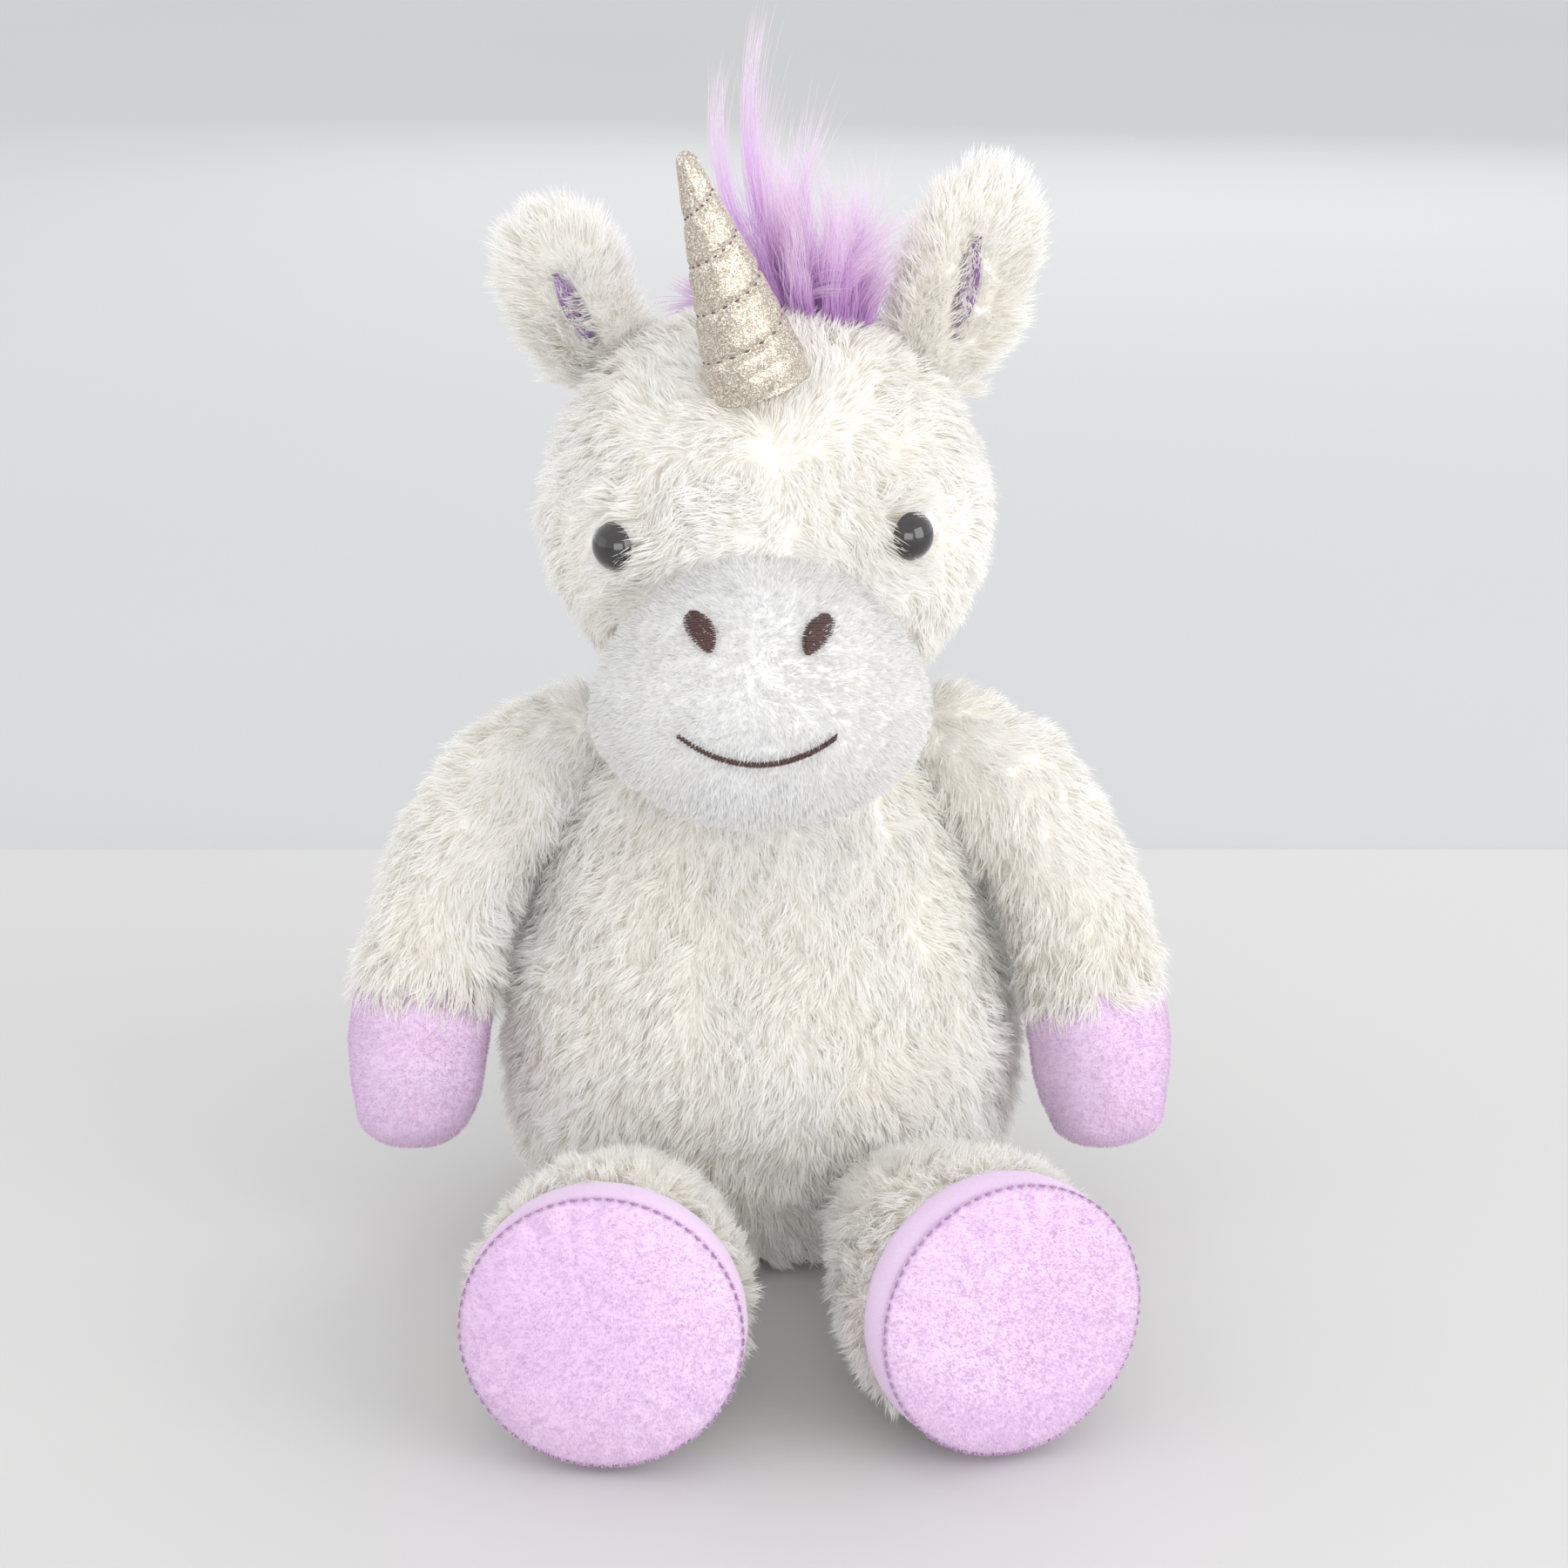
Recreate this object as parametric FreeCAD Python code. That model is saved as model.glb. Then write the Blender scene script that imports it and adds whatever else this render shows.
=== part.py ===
"""Seated plush unicorn, built as separate sewn pieces, in millimetres.

+X is the unicorn's left, -Y is its front and +Z is up.
The origin is the middle of the flat patch that it sits on.
"""

import FreeCAD, Part
import math
import os

Vector = FreeCAD.Vector

# Driving dimensions.
WALL = 3.5                      # panel of backing and short pile pressed flat
SEAM_GAP = 0.5                  # air between two soft parts that move past each other
FAR = 400.0                     # longer than the toy, for cutting tools
NEARLY_ROUND = 1.0001           # an ellipse needs one radius the longer

# Torso: height, half width, half depth and the shift of its middle along Y.
TORSO_RINGS = (
    (0.0, 44.0, 40.0, 2.0),
    (4.0, 55.0, 48.0, 2.0),
    (12.0, 64.0, 55.0, 2.0),
    (26.0, 70.5, 61.0, 1.5),
    (45.0, 73.0, 63.5, 0.5),
    (62.0, 72.5, 63.0, -0.5),
    (82.0, 69.5, 60.0, -1.0),
    (102.0, 63.5, 54.5, -1.5),
    (120.0, 56.0, 48.0, -2.0),
    (134.0, 48.0, 41.0, -3.0),
    (146.0, 38.0, 33.0, -4.0),
)

NECK = Vector(0.0, -4.0, 160.0)
NECK_RADIUS = 28.0
NOD_LIMIT = 6.0                 # degrees down
TURN_LIMIT = 25.0               # degrees each way

# Head and muzzle are spheroids: half width along X, then the radius round X.
HEAD = Vector(2.0, -8.0, 204.0)
HEAD_HALF_WIDTH = 61.0
HEAD_RADIUS = 57.0
HEAD_BASE_Z = 158.0             # the head panels end here, above the torso
HEAD_FRONT_Y = -44.0            # in front of this they run on down behind the muzzle
GUSSET_HALF_WIDTH = 22.0

MUZZLE = Vector(0.8, -66.0, 171.0)
MUZZLE_HALF_WIDTH = 44.5
MUZZLE_RADIUS = 35.0

# Eyes: the ball that the dome is cut from, how proud it stands, and what holds it.
EYE_BALL_RADIUS = 6.72
EYE_PROUD = 4.6
EYE_BACK_GAP = 0.1              # from the panel to the flat back of the dome
EYE_SHANK_RADIUS = 2.2
EYE_SHANK_LENGTH = 17.0
EYE_SHANK_OVERLAP = 1.0         # how far the shank reaches into the dome
EYE_WASHER_RADIUS = 8.0
EYE_WASHER_THICKNESS = 1.6
EYE_WASHER_GAP = 1.0            # from the panel's inner face to the washer
LEFT_EYE = Vector(39.5, 0.0, 208.5)
RIGHT_EYE = Vector(-37.0, 0.0, 205.5)

NOSTRIL_RADII = (2.3, 1.0, 3.6)
LEFT_NOSTRIL = Vector(14.2, 0.0, 191.5)
RIGHT_NOSTRIL = Vector(-13.2, 0.0, 192.0)
NOSTRIL_LEAN = 18.0             # degrees, mirrored
SMILE_HALF_WIDTH = 19.5
SMILE_Z = 163.0
SMILE_RISE = 6.5
SMILE_RADIUS = 0.9

HORN_BASE = Vector(-1.0, -42.0, 250.5)
HORN_TIP = Vector(-17.5, -50.0, 303.5)
HORN_BASE_RADIUS = 13.0
HORN_TIP_RADIUS = 2.4
HORN_WALL = 1.2
EAR_ROOM_RADIUS = 18.5          # dent in the head round an ear's root
HORN_THREAD_RADIUS = 0.35
HORN_THREAD_START = 0.08        # where the winding starts, as a share of the length
HORN_THREAD_PITCH = 0.22        # rise in one turn, as a share of the length
HORN_THREAD_TURNS = 3.5

MANE_HALF_WIDTH = 11.0
MANE_FRONT_Y = -14.0
MANE_LOW_Z = 182.0
MANE_BACKING_THICKNESS = 2.0
MANE_THICKNESS = 13.0
TUFT_BASE = Vector(12.0, -6.0, 258.0)
TUFT_TIP = Vector(-2.0, 14.0, 333.0)
TUFT_BASE_RADIUS = 17.0
TUFT_TIP_RADIUS = 3.0

# Ears: root, tip and how far each is turned about its own length.
LEFT_EAR = {"root": Vector(48.0, 4.0, 242.0), "tip": Vector(66.0, 6.0, 298.0), "turn": 25.0}
RIGHT_EAR = {"root": Vector(-43.0, 4.0, 242.5), "tip": Vector(-60.0, -6.0, 289.0), "turn": -30.0}
EAR_HALF_WIDTH = 19.0
EAR_HALF_THICKNESS = 9.0
EAR_LINING_SHARE = 0.62         # lining size over ear size
EAR_LINING_DEPTH = 3.5

# Arms, as the left one: shoulder, bend and end of the middle line.
SHOULDER = Vector(51.0, -4.0, 136.0)
ARM_AXIS = Vector(-0.9578, -0.2873, 0.0)
ARM_CLEAR_ANGLES = (0.0, 12.0, 25.0, 38.0, 52.0)   # where the body makes room for a lifted arm
ARM_ROOM_RADIUS = 22.6
ARM_BEND = Vector(94.0, -12.0, 119.0)
ARM_END = Vector(95.0, -30.0, 31.0)
ARM_STATIONS = ((0.12, 21.5), (0.28, 22.0), (0.45, 21.5), (0.62, 21.0), (0.78, 20.5), (0.90, 19.0))
ARM_ROOT_RADIUS = 20.5
ARM_TIP_RADIUS = 14.0
ARM_TIP_ROUNDING = (2.0, 2.2)   # before and past the end, where the tip rounds off
CUFF_SHARE = 0.74

# Legs: hip, middle of the sole's rim, and the way the sole faces (degrees to the unicorn's left).
LEFT_LEG = {"hip": Vector(35.0, -46.0, 20.5), "foot": Vector(61.0, -151.0, 36.8), "facing": 23.0}
RIGHT_LEG = {"hip": Vector(-34.0, -46.0, 20.5), "foot": Vector(-37.5, -158.0, 36.8), "facing": -4.0}
LEG_AXIS = Vector(-1.0, 0.0, 0.0)
LEG_CLEAR_ANGLES = (0.0, 8.0, 16.0, 25.0)
LEG_ROOM_RADII = (20.0, 33.0)   # at the hip and where the leg runs straight
SOLE_TILT = 4.0                 # degrees that a sole leans back
LEG_STRAIGHT = 45.0             # the last stretch of leg runs square to the sole
LEG_ROOT_RADIUS = 17.5
LEG_STATIONS = ((0.16, 19.5), (0.34, 23.0), (0.52, 28.0), (0.70, 32.5), (0.84, 35.5), (0.93, 36.2))
SOLE_RADIUS = 35.0
SOLE_BULGE = 8.0                # how far the middle of a sole stands out
BAND_LENGTH = 11.0
SOLE_THREAD_RADIUS = 0.8

# Tail: middle line and radius of the hanging pile.
TAIL_STATIONS = (
    (Vector(0, 69, 52), 4.0),
    (Vector(0, 75, 46), 9.0),
    (Vector(0, 82, 36), 12.5),
    (Vector(0, 90, 26), 14.0),
    (Vector(0, 100, 19), 14.5),
    (Vector(0, 110, 16), 12.0),
    (Vector(0, 118, 15), 6.0),
)
TAIL_ROOT_RADIUS = 3.0
TAIL_ROOT_LENGTH = 16.0


def flat_spheroid(centre, half_length, radius, along):
    """A closed ellipsoid that is round about one axis and flattened along it."""
    curve = Part.Ellipse(Vector(0, radius, 0), Vector(-half_length, 0, 0), Vector(0, 0, 0))
    arc = Part.Arc(curve, -math.pi / 2, math.pi / 2)
    outline = Part.Wire([arc.toShape(), Part.makeLine(arc.EndPoint, arc.StartPoint)])
    shape = Part.Face(outline).revolve(Vector(0, 0, 0), Vector(1, 0, 0), 360.0)
    shape.Placement = FreeCAD.Placement(centre, FreeCAD.Rotation(Vector(1, 0, 0), along))
    return shape


def ellipsoid(centre, radii):
    """A closed ellipsoid with its axes along X, Y and Z."""
    stretch = FreeCAD.Matrix()
    stretch.A11, stretch.A22, stretch.A33 = radii
    shape = Part.makeSphere(1.0).transformGeometry(stretch)
    shape.translate(centre)
    return shape


def beyond(point, direction):
    """The half of space past a plane, as a large cylinder."""
    return Part.makeCylinder(FAR, FAR, point, direction)


def slab(low, high):
    """A box between two corners."""
    size = high - low
    return Part.makeBox(size.x, size.y, size.z, low)


def head_solid(inset):
    """The head without its neck, with a wall taken off, or added if inset is negative."""
    radius = HEAD_RADIUS - inset
    return ellipsoid(HEAD, (HEAD_HALF_WIDTH - inset, radius, radius))


def muzzle_solid(inset):
    """The muzzle, with a wall taken off."""
    radius = MUZZLE_RADIUS - inset
    return ellipsoid(MUZZLE, (MUZZLE_HALF_WIDTH - inset, radius, radius))


def largest_solid(shape):
    """The main solid of a cut, without slivers."""
    return max(shape.Solids, key=lambda solid: solid.Volume)


def bezier(start, bend, end, share):
    """A point on a quadratic curve."""
    rest = 1.0 - share
    return start * (rest * rest) + bend * (2.0 * rest * share) + end * (share * share)


def bezier_direction(start, bend, end, share):
    """The unit direction of the same curve."""
    direction = (bend - start) * (1.0 - share) + (end - bend) * share
    return direction.normalize()


def circle_wire(centre, along, radius, reference):
    """A circle across a limb that starts beside a fixed reference, drawn as an ellipse."""
    side = Vector(along).cross(reference).normalize()
    up = side.cross(along).normalize()
    ring = Part.Ellipse(centre + side * radius * NEARLY_ROUND, centre + up * radius, centre)
    return Part.Wire(ring.toShape())


def limb_solid(stations, reference, inset=0.0):
    """A smooth closed solid through circles. A station is (centre, direction, radius)."""
    wires = [circle_wire(centre, along, radius - inset, reference) for centre, along, radius in stations]
    return Part.makeLoft(wires, True, False)


def tube(points, radius):
    """A thin round bar through points."""
    curve = Part.BSplineCurve()
    curve.interpolate(points)
    start = curve.tangent(curve.FirstParameter)[0]
    profile = Part.Wire(Part.Circle(points[0], start, radius).toShape())
    return Part.Wire(curve.toShape()).makePipeShell([profile], True, True)


def domed_start(centre, along, radius):
    """Stations of a round end that reaches one radius back from centre."""
    angles = (12.0, 35.0, 62.0)
    stations = []
    for angle in angles:
        back = radius * math.cos(math.radians(angle))
        across = radius * math.sin(math.radians(angle))
        stations.append((centre - along * back, along, across))
    stations.append((centre, along, radius))
    return stations


def torso_solid(inset):
    """The pear-shaped body, or the same with a wall taken off."""
    top = TORSO_RINGS[-1][0]
    wires = []
    for height, half_width, half_depth, shift in TORSO_RINGS:
        centre = Vector(0.0, shift, inset + height * (top - 2.0 * inset) / top)
        side = centre + Vector(half_width - inset, 0.0, 0.0)
        back = centre + Vector(0.0, half_depth - inset, 0.0)
        wires.append(Part.Wire(Part.Ellipse(side, back, centre).toShape()))
    return Part.makeLoft(wires, True, False)


def turned(shape, pivot, axis, degrees):
    """A copy of a shape turned about a pivot."""
    copy = shape.copy()
    copy.rotate(pivot, axis, degrees)
    return copy


def room_for_muzzle():
    """Where the muzzle goes when the head nods and turns."""
    nodded = turned(muzzle_solid(-SEAM_GAP), NECK, Vector(1, 0, 0), NOD_LIMIT)
    return [turned(nodded, NECK, Vector(0, 0, 1), turn) for turn in (-TURN_LIMIT, 0.0, TURN_LIMIT)]


def room_for_arm():
    """Where the upper half of the left arm goes as it swings."""
    elbow = bezier(SHOULDER, ARM_BEND, ARM_END, 0.55)
    reach = elbow - SHOULDER
    arm = Part.makeCylinder(ARM_ROOM_RADIUS, reach.Length, SHOULDER, reach)
    return swept_rooms(arm, SHOULDER, ARM_ROOM_RADIUS, ARM_AXIS, ARM_CLEAR_ANGLES)


def room_for_leg(leg):
    """Where a leg goes as it lifts."""
    reach = leg["foot"] - sole_normal(leg) * LEG_STRAIGHT - leg["hip"]
    shape = Part.makeCone(LEG_ROOM_RADII[0], LEG_ROOM_RADII[1], reach.Length, leg["hip"], reach)
    return swept_rooms(shape, leg["hip"], LEG_ROOM_RADII[0], LEG_AXIS, LEG_CLEAR_ANGLES)


def swept_rooms(limb, pivot, radius, axis, angles):
    """A limb at several angles, with a ball at its pivot."""
    rooms = [turned(limb, pivot, axis, angle) for angle in angles]
    rooms.append(Part.makeSphere(radius, pivot))
    return rooms


def torso_pieces():
    """Front and back panels with the stuffing inside, pressed in where the head and limbs go."""
    arm_rooms = room_for_arm()
    rooms = [Part.makeSphere(NECK_RADIUS + SEAM_GAP, NECK)]
    rooms += room_for_muzzle()
    rooms += arm_rooms
    rooms += [room.mirror(Vector(0, 0, 0), Vector(1, 0, 0)) for room in arm_rooms]
    rooms += room_for_leg(LEFT_LEG)
    rooms += room_for_leg(RIGHT_LEG)
    outer = torso_solid(0.0)
    inner = torso_solid(WALL)
    for room in rooms:
        outer = outer.cut(room)
        inner = inner.cut(room)
    shell = outer.cut(inner)
    back_half = beyond(Vector(0.0, 0.0, 0.0), Vector(0.0, 1.0, 0.0))
    return {
        "torso_front_panel": largest_solid(shell.cut(back_half)),
        "torso_back_panel": largest_solid(shell.common(back_half)),
        "torso_stuffing": largest_solid(inner),
    }


def front_point(centre, half_width, radius, spot):
    """The point on the front of a spheroid with a spot's x and z."""
    across = (spot.x - centre.x) / half_width
    upward = (spot.z - centre.z) / radius
    depth = radius * math.sqrt(1.0 - across * across - upward * upward)
    return Vector(spot.x, centre.y - depth, spot.z)


def outward(point, centre, half_width, radius):
    """Unit normal of a spheroid at a point on it."""
    offset = point - centre
    return Vector(offset.x / half_width ** 2, offset.y / radius ** 2, offset.z / radius ** 2).normalize()


def eye_pieces(side, spot):
    """A safety eye, its washer, and the room that the shank takes."""
    seat = front_point(HEAD, HEAD_HALF_WIDTH, HEAD_RADIUS, spot)
    normal = outward(seat, HEAD, HEAD_HALF_WIDTH, HEAD_RADIUS)
    inward = normal * -1.0
    dome = Part.makeSphere(EYE_BALL_RADIUS, seat - normal * (EYE_BALL_RADIUS - EYE_PROUD))
    dome = dome.common(beyond(seat + normal * EYE_BACK_GAP, normal))
    shank_from = seat + normal * EYE_SHANK_OVERLAP
    shank = Part.makeCylinder(EYE_SHANK_RADIUS, EYE_SHANK_LENGTH, shank_from, inward)
    washer_at = seat - normal * (WALL + EYE_WASHER_GAP)
    washer = Part.makeCylinder(EYE_WASHER_RADIUS, EYE_WASHER_THICKNESS, washer_at, inward)
    return {
        side + "_eye": dome.fuse(shank).removeSplitter(),
        side + "_eye_washer": washer.cut(shank),
    }, [shank, washer]


def nostril(spot, lean):
    """An embroidered teardrop, half sunk in the muzzle's surface."""
    seat = front_point(MUZZLE, MUZZLE_HALF_WIDTH, MUZZLE_RADIUS, spot)
    normal = outward(seat, MUZZLE, MUZZLE_HALF_WIDTH, MUZZLE_RADIUS)
    pitch = math.degrees(math.asin(normal.z))
    yaw = math.degrees(math.atan2(normal.x, -normal.y))
    shape = ellipsoid(Vector(0, 0, 0), NOSTRIL_RADII)
    shape.rotate(Vector(0, 0, 0), Vector(0, 1, 0), lean)
    shape.rotate(Vector(0, 0, 0), Vector(1, 0, 0), -pitch)
    shape.rotate(Vector(0, 0, 0), Vector(0, 0, 1), yaw)
    shape.translate(seat)
    return shape


def smile():
    """The embroidered smile: a thin bar through points on the muzzle."""
    steps = 8
    points = []
    for i in range(steps + 1):
        x = SMILE_HALF_WIDTH * (2.0 * i / steps - 1.0)
        z = SMILE_Z + SMILE_RISE * (x / SMILE_HALF_WIDTH) ** 2
        points.append(front_point(MUZZLE, MUZZLE_HALF_WIDTH, MUZZLE_RADIUS, Vector(x, 0.0, z)))
    return tube(points, SMILE_RADIUS)


def mane_pieces(head_outer):
    """The knitted strip on the head's middle line and the long pile on it."""
    backing_solid = head_solid(-MANE_BACKING_THICKNESS)
    pile_solid = head_solid(-MANE_THICKNESS)
    low = Vector(HEAD.x - MANE_HALF_WIDTH, MANE_FRONT_Y, MANE_LOW_Z)
    strip = slab(low, low + Vector(2.0 * MANE_HALF_WIDTH, FAR, FAR))
    length = (TUFT_TIP - TUFT_BASE).Length
    tuft = Part.makeCone(TUFT_BASE_RADIUS, TUFT_TIP_RADIUS, length, TUFT_BASE, TUFT_TIP - TUFT_BASE)
    backing = backing_solid.cut(head_outer).common(strip)
    pile = pile_solid.cut(backing_solid).common(strip)
    tuft = tuft.cut(backing_solid)
    return {
        "mane_backing": largest_solid(backing),
        "mane_pile": largest_solid(pile.fuse(tuft).removeSplitter()),
    }


def head_pieces():
    """Three cream panels, the white muzzle, stuffing, eyes and embroidery."""
    neck_room = Part.makeSphere(NECK_RADIUS + SEAM_GAP, NECK)
    keep = beyond(Vector(0.0, 0.0, HEAD_BASE_Z), Vector(0.0, 0.0, 1.0))
    front = beyond(Vector(0.0, HEAD_FRONT_Y, NECK.z), Vector(0.0, -1.0, 0.0))
    keep = keep.fuse(front)
    head_outer = head_solid(0.0)
    head_inner = head_solid(WALL).common(keep).cut(neck_room)
    muzzle_outer = muzzle_solid(0.0)
    muzzle_inner = muzzle_solid(WALL)
    head_shell = head_outer.common(keep).cut(neck_room).cut(head_inner).cut(muzzle_outer)
    muzzle = muzzle_outer.cut(muzzle_inner).cut(head_inner)
    stuffing = head_inner.fuse(muzzle_inner).removeSplitter()
    nodes = mane_pieces(head_outer)
    for side, spot in (("left", LEFT_EYE), ("right", RIGHT_EYE)):
        pieces, rooms = eye_pieces(side, spot)
        nodes.update(pieces)
        for room in rooms:
            head_shell = head_shell.cut(room)
            stuffing = stuffing.cut(room)
            muzzle = muzzle.cut(room)
    stitches = {
        "left_nostril": nostril(LEFT_NOSTRIL, NOSTRIL_LEAN),
        "right_nostril": nostril(RIGHT_NOSTRIL, -NOSTRIL_LEAN),
        "smile_stitch": smile(),
    }
    for name, stitch in stitches.items():
        nodes[name] = stitch.cut(muzzle_outer)
    dents = [Part.makeSphere(HORN_BASE_RADIUS + SEAM_GAP, HORN_BASE)]
    dents += [Part.makeSphere(EAR_ROOM_RADIUS, ear["root"]) for ear in (LEFT_EAR, RIGHT_EAR)]
    for dent in dents:
        head_shell = head_shell.cut(dent)
        stuffing = stuffing.cut(dent)
    left_of = beyond(HEAD + Vector(GUSSET_HALF_WIDTH, 0, 0), Vector(1, 0, 0))
    right_of = beyond(HEAD - Vector(GUSSET_HALF_WIDTH, 0, 0), Vector(-1, 0, 0))
    nodes["head_left_panel"] = largest_solid(head_shell.common(left_of))
    nodes["head_right_panel"] = largest_solid(head_shell.common(right_of))
    nodes["head_gusset"] = largest_solid(head_shell.cut(left_of).cut(right_of))
    nodes["muzzle_panel"] = largest_solid(muzzle)
    nodes["head_stuffing"] = largest_solid(stuffing)
    nodes["neck_stuffing"] = Part.makeSphere(NECK_RADIUS, NECK)
    return nodes


def horn_radius(share):
    """Radius of the horn at a share of its length."""
    return HORN_BASE_RADIUS + (HORN_TIP_RADIUS - HORN_BASE_RADIUS) * share


def horn_thread():
    """One thread that winds up the horn."""
    axis = HORN_TIP - HORN_BASE
    along = Vector(axis).normalize()
    side = along.cross(Vector(0, 1, 0)).normalize()
    front = side.cross(along)
    steps_per_turn = 12
    steps = int(HORN_THREAD_TURNS * steps_per_turn)
    points = []
    for i in range(steps + 1):
        angle = 2.0 * math.pi * i / steps_per_turn
        share = HORN_THREAD_START + HORN_THREAD_PITCH * i / steps_per_turn
        radius = horn_radius(share)
        around = side * (radius * math.cos(angle)) - front * (radius * math.sin(angle))
        points.append(HORN_BASE + axis * share + around)
    return tube(points, HORN_THREAD_RADIUS)


def horn_pieces():
    """A stuffed cone of glitter fabric with a thread wound round it."""
    axis = HORN_TIP - HORN_BASE
    length = axis.Length
    cover = Part.makeCone(HORN_BASE_RADIUS, HORN_TIP_RADIUS, length, HORN_BASE, axis)
    below = beyond(HORN_BASE, axis * -1.0)
    cover = cover.fuse(Part.makeSphere(HORN_BASE_RADIUS, HORN_BASE).common(below))
    filling = Part.makeCone(
        HORN_BASE_RADIUS - HORN_WALL,
        HORN_TIP_RADIUS - HORN_WALL,
        length - 2.0 * HORN_WALL,
        HORN_BASE + axis * (HORN_WALL / length),
        axis,
    )
    filling = filling.fuse(Part.makeSphere(HORN_BASE_RADIUS - HORN_WALL, HORN_BASE)).removeSplitter()
    thread = horn_thread()
    return {
        "horn_cover": largest_solid(cover.cut(filling).cut(thread)),
        "horn_stuffing": filling.cut(thread),
        "horn_thread": thread,
    }


def ear_pieces(side, ear):
    """A flat stuffed ear: cream outer with a smooth lining let into its front."""
    axis = ear["tip"] - ear["root"]
    half_length = axis.Length / 2.0
    middle = (ear["tip"] + ear["root"]) * 0.5
    outer = ellipsoid(Vector(0, 0, 0), (EAR_HALF_WIDTH, EAR_HALF_THICKNESS, half_length))
    lining_radii = (EAR_HALF_WIDTH * EAR_LINING_SHARE, EAR_LINING_DEPTH, half_length * EAR_LINING_SHARE)
    pocket = ellipsoid(Vector(0, -EAR_HALF_THICKNESS, 0), lining_radii)
    lining = outer.common(pocket)
    outer = outer.cut(pocket)
    place = FreeCAD.Placement(middle, FreeCAD.Rotation(Vector(0, 0, 1), axis))
    turn = FreeCAD.Placement(Vector(0, 0, 0), FreeCAD.Rotation(Vector(0, 0, 1), ear["turn"]))
    nodes = {}
    for name, shape in ((side + "_ear_outer", outer), (side + "_ear_lining", lining)):
        shape = largest_solid(shape)
        shape.Placement = place.multiply(turn)
        nodes[name] = shape
    return nodes


def arm_stations(side):
    """Middle line and radius of one arm, from the shoulder to the hoof. side is 1 for the left."""
    start, bend, end = (Vector(p.x * side, p.y, p.z) for p in (SHOULDER, ARM_BEND, ARM_END))
    stations = domed_start(start, bezier_direction(start, bend, end, 0.0), ARM_ROOT_RADIUS)
    for share, radius in ARM_STATIONS:
        point = bezier(start, bend, end, share)
        stations.append((point, bezier_direction(start, bend, end, share), radius))
    last = bezier_direction(start, bend, end, 1.0)
    before, past = ARM_TIP_ROUNDING
    stations.append((end - last * before, last, ARM_TIP_RADIUS))
    stations.append((end + last * past, last, ARM_TIP_RADIUS / 2.0))
    return stations


def arm_pieces(name, side):
    """Cream sleeve, velour hoof and the stuffing in both."""
    start, bend, end = (Vector(p.x * side, p.y, p.z) for p in (SHOULDER, ARM_BEND, ARM_END))
    stations = arm_stations(side)
    outer = limb_solid(stations, Vector(0, 1, 0))
    inner = limb_solid(stations[1:-1], Vector(0, 1, 0), WALL)
    shell = outer.cut(inner)
    cuff = bezier(start, bend, end, CUFF_SHARE)
    hand_side = beyond(cuff, bezier_direction(start, bend, end, CUFF_SHARE))
    return {
        name + "_arm_sleeve": largest_solid(shell.cut(hand_side)),
        name + "_hoof": largest_solid(shell.common(hand_side)),
        name + "_arm_stuffing": inner,
    }


def sole_normal(leg):
    """The way a sole faces."""
    facing = math.radians(leg["facing"])
    tilt = math.radians(SOLE_TILT)
    flat = math.cos(tilt)
    return Vector(flat * math.sin(facing), -flat * math.cos(facing), math.sin(tilt))


def leg_stations(leg):
    """Middle line and radius of one leg, from the hip to the sole's rim."""
    normal = sole_normal(leg)
    bend = leg["foot"] - normal * LEG_STRAIGHT
    start_direction = bezier_direction(leg["hip"], bend, leg["foot"], 0.0)
    stations = domed_start(leg["hip"], start_direction, LEG_ROOT_RADIUS)
    for share, radius in LEG_STATIONS:
        point = bezier(leg["hip"], bend, leg["foot"], share)
        stations.append((point, bezier_direction(leg["hip"], bend, leg["foot"], share), radius))
    stations.append((leg["foot"], normal, SOLE_RADIUS))
    return stations


def leg_pieces(name, leg):
    """Cream sleeve, velour band, velour sole, the thread round it and the stuffing."""
    normal = sole_normal(leg)
    stations = leg_stations(leg)
    front = beyond(leg["foot"], normal)
    sole_outer = flat_spheroid(leg["foot"], SOLE_BULGE, SOLE_RADIUS, normal).common(front)
    fill_radius = SOLE_RADIUS - WALL - SEAM_GAP
    sole_inner = flat_spheroid(leg["foot"], SOLE_BULGE - WALL, fill_radius, normal).common(front)
    tube_inner = limb_solid(stations[1:], Vector(0, 0, 1), WALL)
    thread = Part.makeTorus(SOLE_RADIUS, SOLE_THREAD_RADIUS, leg["foot"], normal)
    shell = limb_solid(stations, Vector(0, 0, 1)).cut(tube_inner).cut(thread)
    behind_band = beyond(leg["foot"] - normal * BAND_LENGTH, normal * -1.0)
    return {
        name + "_leg_sleeve": largest_solid(shell.common(behind_band)),
        name + "_foot_band": largest_solid(shell.cut(behind_band)),
        name + "_sole": largest_solid(sole_outer.cut(sole_inner).cut(thread)),
        name + "_sole_thread": thread,
        name + "_leg_stuffing": tube_inner.fuse(sole_inner).removeSplitter(),
    }


def tail_pieces():
    """Long pile on a short knitted root."""
    points = [point for point, radius in TAIL_STATIONS]
    stations = []
    for i, (point, radius) in enumerate(TAIL_STATIONS):
        ahead = points[min(i + 1, len(points) - 1)]
        behind = points[max(i - 1, 0)]
        stations.append((point, (ahead - behind).normalize(), radius))
    pile = limb_solid(stations, Vector(1, 0, 0))
    root = Part.makeCylinder(TAIL_ROOT_RADIUS, TAIL_ROOT_LENGTH, points[0], points[2] - points[0])
    return {"tail_root": root, "tail_pile": largest_solid(pile.cut(root))}


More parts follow.
